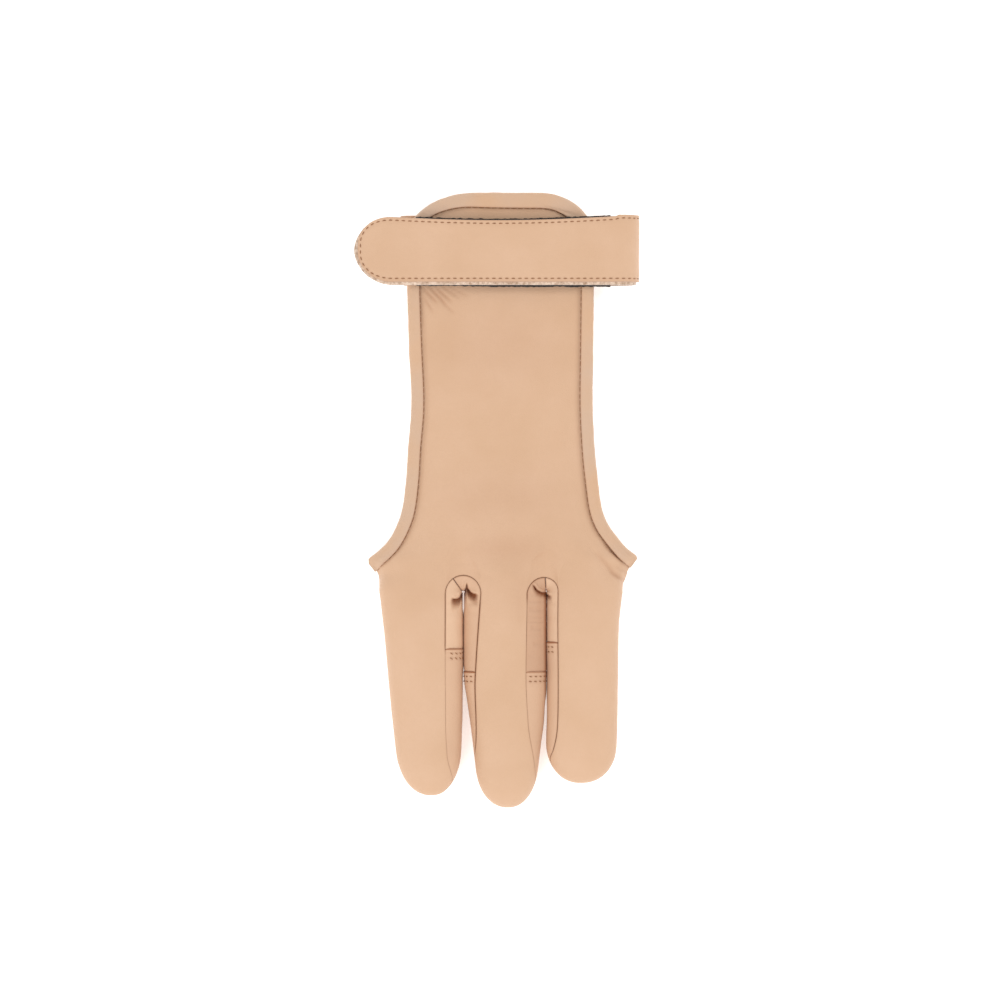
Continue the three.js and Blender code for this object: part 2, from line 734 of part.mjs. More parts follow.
// Binding round the wrist end of the back panel
function wristHem() {
  const first = BACK_GROUPS[0];
  const last = BACK_GROUPS[BACK_GROUPS.length - 1];
  const start = mix(CROTCH_Y, CORNER_Y, BINDING_END) + SEAM_GAP;
  const turns = [0, 1, 2, 3, 4].map((i) => CORNER_Y + CORNER_LENGTH * Math.sin(radians(18 * i)));
  const rows = [start, ...turns];
  const left = rows.map((y) => backPoint(first, 0, y, 0));
  const right = rows.map((y) => backPoint(last, 1, y, 0)).reverse();
  const edges = panelEdges(WRIST_Y);
  const top = [0, 0.5, 1].map((share) => new THREE.Vector3(mix(edges.left, edges.right, share), WRIST_Y, 0));
  const faces = (plan) => {
    const span = panelEdges(plan.y);
    const share = Math.min(1, Math.max(0, (plan.x - span.left) / (span.right - span.left)));
    const height = panelHeight(plan.y, 2 * share - 1);
    return [height, height - BACK_LEATHER];
  };
  const stations = bindingStations([...left, ...top, ...right], 1, faces);
  return foldedBinding(stations, WRIST_LAP, BINDING_LEATHER);
}

// Binding of the palm band's free edge
function palmHem() {
  const edge = [];
  PALM_GROUPS.forEach((group, g) => {
    const first = g === 0 ? 3 : 1;
    const last = g === PALM_GROUPS.length - 1 ? group.columns - 3 : group.columns;
    for (let c = first; c <= last; c += 1) edge.push(palmPoint(group, c / group.columns, 0, 0));
  });
  const faces = () => [PALM_LIFT + FINGER_LEATHER, PALM_LIFT];
  return foldedBinding(bindingStations(edge, 1, faces), PALM_LAP, PALM_BINDING_LEATHER);
}

// The strap's outer line, from its sewn end under the panel, round the left fold, along below the
// wrist, round the right fold and over the panel to the free tip
const STRAP_Y = WRIST_Y - STRAP_FROM_WRIST_EDGE - STRAP_WIDTH / 2;
const STRAP_TIP_X = PANEL_CENTRE - STRAP_TIP_REACH;
const STRAP_FOLD_X = PANEL_CENTRE + STRAP_FOLD_REACH;
const SEWN_TOP = PANEL_HEIGHT - STRAP_ZONE_DROOP - BACK_LEATHER - BINDING_PROUD - SEAM_GAP;
const SEWN_FOLD_X = PANEL_CENTRE - PANEL_WIDTH / 2 - BINDING_PROUD - FOLD_PROUD;

function strapLine() {
  const line = [];
  const foldAt = (x, radius, from, to, steps) => {
    for (let i = 0; i <= steps; i += 1) {
      const turn = radians(mix(from, to, i / steps));
      line.push({ x: x + radius * Math.cos(turn), z: radius + radius * Math.sin(turn), turn });
    }
  };
  const leftRadius = SEWN_TOP / 2;
  const rightRadius = STRAP_TOP / 2;
  line.push({ x: SEWN_FOLD_X + leftRadius + STRAP_SEWN_LENGTH, z: SEWN_TOP, turn: radians(90) });
  foldAt(SEWN_FOLD_X + leftRadius, leftRadius, 90, 270, 6);
  foldAt(STRAP_FOLD_X - rightRadius, rightRadius, -90, 90, 8);
  const fallX = STRAP_TIP_X + STRAP_TIP_FALL;
  const topRun = STRAP_FOLD_X - rightRadius - fallX;
  [0.2, 0.4, 0.6, 0.8, 1].forEach((share) => {
    line.push({ x: fallX + topRun * (1 - share), z: STRAP_TOP, turn: radians(90), over: true });
  });
  const bodyX = STRAP_TIP_X + STRAP_TIP_LENGTH;
  const fall = (x) => {
    const t = (fallX - x) / STRAP_TIP_FALL;
    const slope = (2 * STRAP_TIP_DROOP * t) / STRAP_TIP_FALL;
    return { x, z: STRAP_TOP - STRAP_TIP_DROOP * t * t, turn: radians(90) + Math.atan(slope), over: true };
  };
  line.push(fall(mix(fallX, bodyX, 0.5)));
  [0, 15, 30, 45, 60, 75, 86].forEach((degrees) => {
    const station = fall(bodyX - STRAP_TIP_LENGTH * Math.sin(radians(degrees)));
    line.push({ ...station, tip: Math.cos(radians(degrees)) });
  });
  return line;
}

// One layer of the strap between two depths below its outer line
function strapLayer(depth, thickness, reveal) {
  const sheet = new Sheet((station, across, layer) => {
    const inward = depth + layer * thickness;
    const span = STRAP_FOLD_X - STRAP_TIP_X;
    const dip = station.over ? STRAP_EDGE_DIP * Math.sin((Math.PI * (station.x - STRAP_TIP_X)) / span) : 0;
    const top = STRAP_WIDTH / 2 - dip;
    const bottom = -STRAP_WIDTH / 2 - reveal;
    const tip = station.tip === undefined ? 1 : station.tip;
    const centre = (top + bottom) / 2;
    return new THREE.Vector3(
      station.x - inward * Math.cos(station.turn) - (1 - tip) * reveal,
      STRAP_Y + centre + (mix(bottom, top, across) - centre) * tip,
      station.z - inward * Math.sin(station.turn),
    );
  });
  const grid = strapLine().map((station, r) => columnShares(2).map((across, c) => (
    sheet.point(`${c}.${r}`, station, across)
  )));
  sheet.strip(grid.map((row) => row.slice().reverse()));
  return sheet.geometry();
}

// A flat piece of tape with its corners cut round
function tape(x, y, z, length, width) {
  const corner = 2;
  const shape = new THREE.Shape();
  shape.moveTo(-length / 2 + corner, -width / 2);
  shape.lineTo(length / 2 - corner, -width / 2);
  shape.absarc(length / 2 - corner, -width / 2 + corner, corner, radians(-90), 0, false);
  shape.absarc(length / 2 - corner, width / 2 - corner, corner, 0, radians(90), false);
  shape.absarc(-length / 2 + corner, width / 2 - corner, corner, radians(90), radians(180), false);
  shape.absarc(-length / 2 + corner, -width / 2 + corner, corner, radians(180), radians(270), false);
  const geometry = new THREE.ExtrudeGeometry(shape, { depth: TAPE, bevelEnabled: false, curveSegments: 4 });
  geometry.translate(x, y, z);
  return geometry;
}

function hookTape() {
  const x = STRAP_TIP_X + HOOK_FROM_TIP + HOOK_LENGTH / 2;
  const z = STRAP_TOP - STRAP_STACK - SEAM_GAP - TAPE;
  const width = STRAP_WIDTH - STRAP_EDGE_DIP + BACKING_REVEAL + 2 * HOOK_REVEAL;
  const y = STRAP_Y - (STRAP_EDGE_DIP + BACKING_REVEAL) / 2;
  return tape(x, y, z, HOOK_LENGTH, width);
}

function loopTape() {
  const y = WRIST_Y - LOOP_FROM_WRIST_EDGE - LOOP_WIDTH / 2;
  return tape(PANEL_CENTRE, y, PANEL_HEIGHT + SEAM_GAP, LOOP_LENGTH, LOOP_WIDTH);
}

const COLOURS = {
  back: 0xe3ba99,
  gusset: 0xdfb491,
  tip: 0xe7c2a1,
  binding: 0xdcb897,
  strap: 0xe4bb9c,
  backing: 0xd9cfc0,
  tape: 0x1b1a1c,
};

const glove = new THREE.Group();

function add(name, geometry, color, roughness) {
  const material = new THREE.MeshStandardMaterial({ color, roughness, metalness: 0 });
  const mesh = new THREE.Mesh(geometry, material);
  mesh.name = name;
  glove.add(mesh);
}

const [RING_CROTCH, INDEX_CROTCH] = CROTCHES;
const RING_SEAM_TURN = -35;
const INDEX_SEAM_TURN = -4;

add('back_panel', backPanel(), COLOURS.back, 0.62);
add('palm_leather', palmLeather(), COLOURS.back, 0.62);
add('ring_gusset', gusset(RING, 1, RING_CROTCH, RING_SEAM_TURN), COLOURS.gusset, 0.65);
add('middle_gusset_ring_side', gusset(MIDDLE, -1, RING_CROTCH, RING_SEAM_TURN), COLOURS.gusset, 0.65);
add('middle_gusset_index_side', gusset(MIDDLE, 1, INDEX_CROTCH, INDEX_SEAM_TURN), COLOURS.gusset, 0.65);
add('index_gusset', gusset(INDEX, -1, INDEX_CROTCH, INDEX_SEAM_TURN), COLOURS.gusset, 0.65);
add('ring_tip', fingerTip(RING), COLOURS.tip, 0.58);
add('middle_tip', fingerTip(MIDDLE), COLOURS.tip, 0.58);
add('index_tip', fingerTip(INDEX), COLOURS.tip, 0.58);
add('side_binding_left', sideBinding(-1), COLOURS.binding, 0.6);
add('side_binding_right', sideBinding(1), COLOURS.binding, 0.6);
add('wrist_hem', wristHem(), COLOURS.binding, 0.6);
add('palm_hem', palmHem(), COLOURS.binding, 0.6);
add('strap_face', strapLayer(0, STRAP_LEATHER, 0), COLOURS.strap, 0.6);
add('strap_backing', strapLayer(STRAP_LEATHER + SEAM_GAP, STRAP_BACKING, BACKING_REVEAL), COLOURS.backing, 0.95);
add('hook_tape', hookTape(), COLOURS.tape, 0.9);
add('loop_tape', loopTape(), COLOURS.tape, 0.95);

// The origin is the middle of the glove's footprint, on the surface that it lies on
const box = new THREE.Box3().setFromObject(glove);
glove.position.set(-(box.min.x + box.max.x) / 2, -(box.min.y + box.max.y) / 2, -box.min.z);

export default glove;
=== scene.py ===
"""A three-finger leather shooting glove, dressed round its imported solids."""

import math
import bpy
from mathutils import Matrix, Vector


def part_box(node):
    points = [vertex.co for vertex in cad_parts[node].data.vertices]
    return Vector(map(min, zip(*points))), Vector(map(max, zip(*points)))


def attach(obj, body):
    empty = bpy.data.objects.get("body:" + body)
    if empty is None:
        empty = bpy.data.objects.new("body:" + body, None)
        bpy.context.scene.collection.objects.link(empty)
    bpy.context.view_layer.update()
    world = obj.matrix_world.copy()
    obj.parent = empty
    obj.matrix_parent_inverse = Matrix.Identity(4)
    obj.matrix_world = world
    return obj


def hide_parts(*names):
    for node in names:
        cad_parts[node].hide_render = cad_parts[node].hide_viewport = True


bl_info = {
    "name": "Shooting glove",
    "version": (1, 0, 0),
    "blender": (4, 5, 0),
    "location": "3D View > Sidebar > Glove",
    "description": "Builds the leather, seams, stitches and tapes of a three-finger shooting glove",
    "category": "Object",
}

import bpy
import numpy as np
from mathutils import Vector, kdtree, noise

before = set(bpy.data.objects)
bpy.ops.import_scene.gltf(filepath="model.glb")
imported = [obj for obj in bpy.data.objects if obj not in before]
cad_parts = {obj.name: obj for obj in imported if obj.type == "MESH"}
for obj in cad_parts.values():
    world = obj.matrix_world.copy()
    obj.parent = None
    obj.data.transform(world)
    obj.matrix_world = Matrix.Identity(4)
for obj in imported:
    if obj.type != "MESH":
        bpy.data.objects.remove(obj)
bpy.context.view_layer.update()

# The glove's form is worked out in millimetres in its own frame: X across the hand towards the index
# finger, Y towards the wrist, Z up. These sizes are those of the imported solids.
MM = 0.001
BACK_LEATHER = 1.2
FINGER_LEATHER = 1.2
BINDING_LEATHER = 0.9
PALM_BINDING_LEATHER = 0.7
STRAP_LEATHER = 1.1
STRAP_BACKING = 1.0
TAPE = 1.0
SEAM_GAP = 0.3

CROTCH_Y = -34.4
BACK_LENGTH = 147.0
PANEL_WIDTH = 66.8
PANEL_CENTRE = 1.1
WING_FLARE = 13.0
WING_TAPER = 13.0
KNUCKLE_TAPER = 28.0
CORNER_LENGTH = 15.8
LEFT_CORNER_WIDTH = 24.0
RIGHT_CORNER_WIDTH = 18.8

KNUCKLE_HEIGHT = 15.5
WRIST_HOLLOW = 6.2
STRAP_ZONE_DROOP = 0.4
CROTCH_DIP = 1.7
CROTCH_OPENING = 0.6
PAD_SINK = 0.8
PALM_BAND = 14.6
PALM_BAND_DROP = 7.0

SIDE_LAP = 3.2
WRIST_LAP = 4.4
PALM_LAP = 3.0
BINDING_END = 0.95

FINGER_GAP = 0.5
MIDDLE_CENTRE = 2.7
OUTER_SEAM = 105.0
PAD_SEAM = 135.0
TIP_POWER = 2.2
SECTION_POWER = 0.8

STRAP_WIDTH = 24.8
STRAP_FROM_WRIST_EDGE = 7.2
STRAP_TIP_REACH = 53.8
STRAP_FOLD_REACH = 51.4
STRAP_TIP_LENGTH = 13.7
STRAP_TIP_DROOP = 4.0
STRAP_TIP_FALL = 24.0
STRAP_EDGE_DIP = 2.0
STRAP_SEWN_LENGTH = 7.0
FOLD_PROUD = 2.5
BACKING_REVEAL = 0.8
HOOK_REVEAL = 0.4
HOOK_LENGTH = 72.0
HOOK_FROM_TIP = 22.5
LOOP_LENGTH = 54.0
LOOP_WIDTH = 19.0
LOOP_FROM_WRIST_EDGE = 11.4


def table(columns, *rows):
    """A small table: one array for each named column."""
    return {name: np.array(values, float) for name, values in zip(columns.split(), zip(*rows))}


class Finger:
    """One finger of the glove: sizes in millimetres, sections and seams as tables along it."""

    def __init__(self, name, length, width, tip_length, bare_front, tip_lean, sections, left, right):
        self.name = name
        self.length = length
        self.width = width
        self.tip_length = tip_length
        self.bare_front = bare_front
        self.tip_lean = tip_lean
        self.sections = sections
        self.seams = {-1: left, 1: right}
        self.centre = 0.0
        self.tip_start = 1 - tip_length / length

    def tip_edge(self, side, gap):
        """Where the reinforced tip starts (side 1) or the bare front ends (side -1)."""
        return (self.bare_front + side * gap / 2) / self.length


OUTER = table("along angle", (0, OUTER_SEAM), (0.8, OUTER_SEAM), (1, 96))
RING = Finger(
    "ring", 75.1, 30.7, 18, 20.7, 0.25,
    table(
        "along left right height",
        (0, 1, 1, 1),
        (0.23, 0.875, 1, 1),
        (0.55, 0.735, 1, 0.97),
        (0.78, 0.615, 0.97, 0.9),
        (1, 0.54, 0.92, 0.8),
    ),
    OUTER,
    table("along angle", (0, 31), (0.5, 27), (0.8, 30), (0.88, 46), (0.95, 82), (1, 96)),
)
MIDDLE = Finger(
    "middle", 79.6, 30.2, 15, 29.2, 0.08,
    table(
        "along left right height",
        (0, 1, 1, 1),
        (0.4, 0.985, 1, 0.98),
        (0.59, 0.86, 0.96, 0.96),
        (0.7, 0.785, 0.89, 0.92),
        (0.85, 0.7, 0.8, 0.86),
        (1, 0.64, 0.74, 0.78),
    ),
    table("along angle", (0, 31), (0.36, 42), (0.59, 53), (0.7, 64), (0.8, 90), (1, 96)),
    table("along angle", (0, 28), (0.6, 30), (0.82, 62), (0.9, 88), (1, 96)),
)
INDEX = Finger(
    "index", 70.5, 28.0, 15, 18.3, -0.1,
    table(
        "along left right height",
        (0, 1, 1, 1),
        (0.16, 1, 0.91, 1),
        (0.46, 1, 0.88, 0.97),
        (0.67, 1, 0.865, 0.93),
        (0.8, 1.02, 0.85, 0.88),
        (1, 0.98, 0.84, 0.8),
    ),
    table("along angle", (0, 41), (0.68, 40), (0.82, 50), (0.9, 84), (1, 96)),
    OUTER,
)
MIDDLE.centre = MIDDLE_CENTRE
RING.centre = MIDDLE.centre - MIDDLE.width / 2 - FINGER_GAP - RING.width / 2
INDEX.centre = MIDDLE.centre + MIDDLE.width / 2 + FINGER_GAP + INDEX.width / 2
FINGERS = (RING, MIDDLE, INDEX)

PANEL_EDGES = table(
    "along left right",
    (0, 0.85, 0.9),
    (0.045, 0.92, 1.01),
    (0.075, 1.08, 1.16),
    (0.095, 1.05, 1.27),
    (0.117, 0.78, 1),
    (0.145, 0.53, 0.75),
    (0.189, 0.29, 0.42),
    (0.234, 0.14, 0.24),
    (0.319, 0.03, 0.115),
    (0.403, -0.02, 0.03),
    (0.529, -0.115, -0.03),
    (0.7, -0.05, -0.015),
    (0.864, 0, 0),
    (1, 0, 0),
)
PANEL_CREST = table(
    "along rise droop power",
    (0, 1, 0.46, 3),
    (0.182, 0.65, 0.36, 3),
    (0.332, 0.22, 0.22, 2.6),
    (0.482, 0.04, 0.16, 2.2),
    (0.631, 0, 0.1, 2.2),
    (0.74, 0, 0.026, 2.2),
    (0.944, 0, 0.026, 2.2),
    (1, -0.15, 0.026, 2.2),
)

WRIST_Y = CROTCH_Y + BACK_LENGTH
CORNER_Y = WRIST_Y - CORNER_LENGTH
STRAP_STACK = STRAP_LEATHER + SEAM_GAP + STRAP_BACKING
PANEL_HEIGHT = STRAP_STACK + WRIST_HOLLOW + BACK_LEATHER
STRAP_TOP = PANEL_HEIGHT + 3 * SEAM_GAP + 2 * TAPE + STRAP_STACK
PALM_LIFT = PALM_BINDING_LEATHER + SEAM_GAP
BINDING_PROUD = SEAM_GAP + BINDING_LEATHER
STRAP_Y = WRIST_Y - STRAP_FROM_WRIST_EDGE - STRAP_WIDTH / 2
STRAP_TIP_X = PANEL_CENTRE - STRAP_TIP_REACH
STRAP_FOLD_X = PANEL_CENTRE + STRAP_FOLD_REACH
SEWN_TOP = PANEL_HEIGHT - STRAP_ZONE_DROOP - BACK_LEATHER - BINDING_PROUD - SEAM_GAP
SEWN_FOLD_X = PANEL_CENTRE - PANEL_WIDTH / 2 - BINDING_PROUD - FOLD_PROUD

# Sewn seams close up to this in the visual model, and rows of points lie about this far apart
SEWN_GAP = 0.03
STEP = 0.9

# Nothing comes closer to the floor than this
FLOOR_CLEARANCE = 0.02

# From the form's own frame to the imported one
SHIFT = np.array([
    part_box("strap_face")[1][0] / MM - STRAP_FOLD_X,
    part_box("back_panel")[0][1] / MM - (CROTCH_Y - MIDDLE.length),
    0.0,
])

# The photograph's frame: 1000 pixels across, its scale, and the pixel column of the form's X zero
PHOTO_PIXELS = 1000
PHOTO_SCALE = 0.37
PHOTO_ZERO_COLUMN = 497.5


def mix(a, b, t):
    return a + (b - a) * t


def smooth(value):
    t = np.clip(value, 0, 1)
    return t * t * (3 - 2 * t)


def ramp(distance, reach):
    """From 0 at a line to 1 at a reach from it."""
    return np.clip(distance / reach, 0, 1)


def bell(distance, width):
    return np.exp(-((distance / width) ** 2))


def signed_power(value, power):
    return np.sign(value) * np.abs(value) ** power


def read(rows, column, along):
    """One column of a table at places along it, on a curve through its rows."""
    x, y = rows["along"], rows[column]
    at = np.clip(along, x[0], x[-1])
    i = np.clip(np.searchsorted(x, at) - 1, 0, len(x) - 2)
    k = np.arange(len(x))
    low, high = np.maximum(k - 1, 0), np.minimum(k + 1, len(x) - 1)
    slope = (y[high] - y[low]) / (x[high] - x[low])
    span = x[i + 1] - x[i]
    t = (at - x[i]) / span
    rise = y[i + 1] - y[i]
    start, end = slope[i] * span, slope[i + 1] * span
    return y[i] + start * t + (3 * rise - 2 * start - end) * t**2 + (start + end - 2 * rise) * t**3


def skin(finger, angle, along, inset=0.0):
    """A finger's skin: angle in degrees from the crest, positive towards the index finger."""
    angle, along = np.broadcast_arrays(np.asarray(angle, float), np.asarray(along, float))
    t = np.clip((along - finger.tip_start) / (1 - finger.tip_start), 0, 1)
    rounding = np.maximum(0, 1 - t**TIP_POWER) ** (1 / TIP_POWER)
    half = finger.width / 2
    axis = finger.centre + finger.tip_lean * half
    left = axis - finger.centre + half * read(finger.sections, "left", along) - inset
    right = finger.centre + half * read(finger.sections, "right", along) - axis - inset
    centre = axis + (right - left) / 2 * rounding
    reach = (right + left) / 2 * rounding
    middle = KNUCKLE_HEIGHT * read(finger.sections, "height", along) / 2
    lift = signed_power(np.cos(np.radians(angle)), SECTION_POWER)
    depth = np.where(lift > 0, middle - inset, middle + PAD_SINK - inset)
    return np.stack([
        centre + reach * signed_power(np.sin(np.radians(angle)), SECTION_POWER),
        CROTCH_Y - along * (finger.length - inset),
        np.maximum(inset, middle + depth * rounding * lift),
    ], -1)


def past_seam(finger, angle, along, shift, gap=SEWN_GAP):
    """The angle half a gap past another one along the skin, towards the sign of shift."""
    reach = np.linalg.norm(skin(finger, angle - 1, along) - skin(finger, angle + 1, along), axis=-1) / 2
    return angle + shift * gap / 2 / np.maximum(reach, gap / 16)


def seam_angle(finger, side, along):
    return side * read(finger.seams[side], "angle", np.asarray(along, float))


def back_span(finger, along):
    left, right = seam_angle(finger, -1, along), seam_angle(finger, 1, along)
    return past_seam(finger, left, along, 1), past_seam(finger, right, along, -1)


def pad_span(finger, along):
    left, right = seam_angle(finger, -1, along), seam_angle(finger, 1, along)
    return past_seam(finger, left, along, -1), past_seam(finger, right - 360, along, 1)


def palm_span(finger, along):
    left = OUTER_SEAM if finger is RING else PAD_SEAM
    right = OUTER_SEAM if finger is INDEX else PAD_SEAM
    along = np.asarray(along, float)
    return (
        past_seam(finger, np.full_like(along, -left), along, -1),
        past_seam(finger, np.full_like(along, right - 360), along, 1),
    )


def gusset_span(finger, side, along):
    along = np.asarray(along, float)
    start = past_seam(finger, seam_angle(finger, side, along), along, side)
    end = past_seam(finger, np.full_like(along, side * PAD_SEAM), along, -side)
    return start, end


class Crotch:
    """The saddle between two fingers."""

    def __init__(self, left, right, x):
        self.left = left
        self.right = right
        self.x = x


RING_CROTCH = Crotch(RING, MIDDLE, MIDDLE.centre - (MIDDLE.width + FINGER_GAP) / 2)
INDEX_CROTCH = Crotch(MIDDLE, INDEX, MIDDLE.centre + (MIDDLE.width + FINGER_GAP) / 2)


def saddle(crotch, turn, down, left_span, right_span, inset=0.0):
    """Turn runs from -90 at the left finger to 90 at the right one, down from top seam to palm."""
    left = skin(crotch.left, mix(left_span[0], left_span[1], down), 0.0, inset)
    right = skin(crotch.right, mix(right_span[0], right_span[1], down), 0.0, inset)
    share = (turn + 90) / 180
    bend = np.cos(np.radians(turn))
    throat = CROTCH_OPENING * bend * np.sin(np.pi * down)
    radius = mix(crotch.x - left[..., 0], right[..., 0] - crotch.x, share) + throat
    dip = CROTCH_DIP * bend**2 * np.maximum(0, 1 - 2 * down)
    return np.stack([
        crotch.x + radius * np.sin(np.radians(turn)),
        CROTCH_Y + radius * bend,
        mix(left[..., 2], right[..., 2], share) - dip,
    ], -1)


def panel_edges(y):
    past = np.clip((y - CORNER_Y) / CORNER_LENGTH, 0, 1)
    along = (y - CROTCH_Y) / (CORNER_Y - CROTCH_Y)
    corner = 1 - np.sqrt(1 - past**2)
    half = PANEL_WIDTH / 2
    left = PANEL_CENTRE - half - WING_FLARE * read(PANEL_EDGES, "left", along) + LEFT_CORNER_WIDTH * corner
    right = PANEL_CENTRE + half + WING_FLARE * read(PANEL_EDGES, "right", along) - RIGHT_CORNER_WIDTH * corner
    return left, right


def panel_height(y, across):
    along = (y - CROTCH_Y) / BACK_LENGTH
    crest = mix(PANEL_HEIGHT, KNUCKLE_HEIGHT, read(PANEL_CREST, "rise", along))
    free = KNUCKLE_HEIGHT * read(PANEL_CREST, "droop", along)
    droop = mix(free, STRAP_ZONE_DROOP, smooth((along - 0.6) / 0.14))
    return crest - droop * np.abs(across) ** read(PANEL_CREST, "power", along)


class Group:
    """A part of the hand's width: one finger, or the crotch between two."""

    def __init__(self, finger=None, crotch=None, span=None, down=0.0):
        self.finger = finger
        self.crotch = crotch
        self.down = down
        if finger:
            self.angles = [float(a) for a in span(finger, np.array(0.0))]
        else:
            self.edges = [
                [float(span(crotch.left, np.array(0.0))[1])] * 2,
                [float(span(crotch.right, np.array(0.0))[0])] * 2,
            ]

    def point(self, share, inset=0.0):
        if self.finger:
            return skin(self.finger, mix(self.angles[0], self.angles[1], share), 0.0, inset)
        turn = mix(-90.0, 90.0, share)
        down = np.full_like(turn, self.down)
        return saddle(self.crotch, turn, down, self.edges[0], self.edges[1], inset)


def hand_groups(span, down):
    groups = [
        Group(finger=RING, span=span),
        Group(crotch=RING_CROTCH, span=span, down=down),
        Group(finger=MIDDLE, span=span),
        Group(crotch=INDEX_CROTCH, span=span, down=down),
        Group(finger=INDEX, span=span),
    ]
    ends = np.array([0.0, 1.0])
    left = groups[0].point(ends)[0, 0]
    right = groups[-1].point(ends)[1, 0]
    for group in groups:
        group.start, group.end = (group.point(ends)[:, 0] - left) / (right - left)
    return groups


BACK_GROUPS = hand_groups(back_span, 0.0)
PALM_GROUPS = hand_groups(palm_span, 1.0)


def back_point(group, share, y, inset=0.0):
    """The back leather between the crotch row and the wrist."""
    share, y = np.broadcast_arrays(np.asarray(share, float), np.asarray(y, float))
    left, right = panel_edges(y)
    across = mix(group.start, group.end, share)
    form = group.point(share, inset)
    knuckles = smooth((CROTCH_Y + KNUCKLE_TAPER - y) / KNUCKLE_TAPER)
    sides = smooth((CROTCH_Y + WING_TAPER - y) / WING_TAPER)
    return np.stack([
        mix(mix(left, right, across), form[..., 0], sides),
        y + knuckles * (form[..., 1] - CROTCH_Y),
        mix(panel_height(y, 2 * across - 1) - inset, form[..., 2], knuckles),
    ], -1)


def back_height(x, y):
    """Height of the back's outer surface near one of its long edges."""
    left = x < PANEL_CENTRE
    near = np.where(left, 0.0, 1.0)
    far = 1 - near
    for _ in range(22):
        share = (near + far) / 2
        place = np.where(
            left[..., None], back_point(BACK_GROUPS[0], share, y), back_point(BACK_GROUPS[-1], share, y)
        )
        past = np.abs(place[..., 0] - PANEL_CENTRE) > np.abs(x - PANEL_CENTRE)
        near = np.where(past, share, near)
        far = np.where(past, far, share)
    return place[..., 2]


def palm_point(group, share, row, inset=0.0):
    """The palm band: row runs from its free edge down to the crotches."""
    share, row = np.broadcast_arrays(np.asarray(share, float), np.asarray(row, float))
    form = group.point(share, inset)
    across = 2 * mix(group.start, group.end, share) - 1
    hem = CROTCH_Y + PALM_BAND - PALM_BAND_DROP * np.abs(across) ** 3
    y = mix(hem, form[..., 1], row)
    left, right = panel_edges(y)
    sides = smooth((CROTCH_Y + WING_TAPER - y) / WING_TAPER)
    ends = np.array([0.0, 1.0])
    first = PALM_GROUPS[0].point(ends)[0, 0]
    last = PALM_GROUPS[-1].point(ends)[1, 0]
    outer = np.where(across < 0, mix(left, first, sides) - first, mix(right, last, sides) - last)
    lift = inset + PALM_LIFT * (1 - smooth((row - 0.4) / 0.4))
    spread = smooth(row / 0.8)
    if group.finger:
        straight = form[..., 0]
        height = form[..., 2]
    else:
        sides_x = group.point(ends, inset)[:, 0]
        straight = mix(sides_x[0], sides_x[1], share)
        height = mix(lift, form[..., 2], spread)
    return np.stack([
        mix(straight, form[..., 0], spread) + outer * np.abs(across) ** 8,
        y,
        np.maximum(lift, height),
    ], -1)


def shares_for(width, step=STEP):
    """Shares of a width with the rows closer together at both ends, where seams roll under."""
    ends = np.array([0.0, 0.12, 0.28, 0.5, 0.8, 1.3]) / width
    count = max(2, round(width / step))
    inner = np.linspace(ends[-1], 1 - ends[-1], count)[1:-1]
    return np.concatenate([ends, inner, 1 - ends[::-1]])


def place_object(name, data):
    """Adds an object with its data to the scene."""
    thing = bpy.data.objects.new(name, data)
    bpy.context.collection.objects.link(thing)
    return thing


class Skin:
    """Grids of outer and inner points that share their common edges, made into one closed leather."""

    def __init__(self):
        self.outer = []
        self.inner = []
        self.cells = []
        self.count = 0

    def add(self, outer, inner, left=None, top=None, pole=False):
        rows, columns = outer.shape[:2]
        index = np.full((rows, columns), -1)
        if left is not None:
            index[:, 0] = left
        if top is not None:
            index[0] = top
        fresh = index < 0
        if pole:
            fresh[-1, 1:] = False
        index[fresh] = self.count + np.arange(fresh.sum())
        if pole:
            index[-1] = index[-1, 0]
        self.outer.append(outer[fresh])
        self.inner.append(inner[fresh])
        self.count += int(fresh.sum())
        quads = np.stack([index[:-1, :-1], index[1:, :-1], index[1:, 1:], index[:-1, 1:]], -1)
        self.cells.append(quads.reshape(-1, 4))
        return index

    def build(self, name, materials):
        """Makes the mesh object: grain side, flesh side and cut edge have a material each."""
        cells = np.concatenate(self.cells)
        outer = np.concatenate(self.outer)
        inner = np.concatenate(self.inner)
        faces, kinds = [], []
        edges = {}
        for cell in cells.tolist():
            corners = [c for i, c in enumerate(cell) if c != cell[i - 1]]
            if len(corners) < 3:
                continue
            faces.append(corners)
            kinds.append(0)
            faces.append([self.count + c for c in reversed(corners)])
            kinds.append(1)
            for i, corner in enumerate(corners):
                edges[(corners[i - 1], corner)] = True
        loose = [(a, b) for a, b in edges if (b, a) not in edges]
        for a, b in loose:
            faces.append([b, a, self.count + a, self.count + b])
            kinds.append(2)
        points = (np.concatenate([outer, inner]) + SHIFT) * MM
        mesh = bpy.data.meshes.new(name)
        mesh.from_pydata(points.tolist(), [], faces)
        for material in materials:
            mesh.materials.append(material)
        mesh.polygons.foreach_set("material_index", kinds)
        mesh.polygons.foreach_set("use_smooth", [kind < 2 for kind in kinds])
        mesh.update()
        mesh.calc_loop_triangles()
        corners = points[[triangle.vertices[:] for triangle in mesh.loop_triangles]]
        if np.einsum("ij,ij->", np.cross(corners[:, 0], corners[:, 1]), corners[:, 2]) < 0:
            mesh.flip_normals()
        piece = place_object(name, mesh)
        piece["outer_points"] = self.count
        self.rim = sorted({point for edge in loose for point in edge})
        return piece


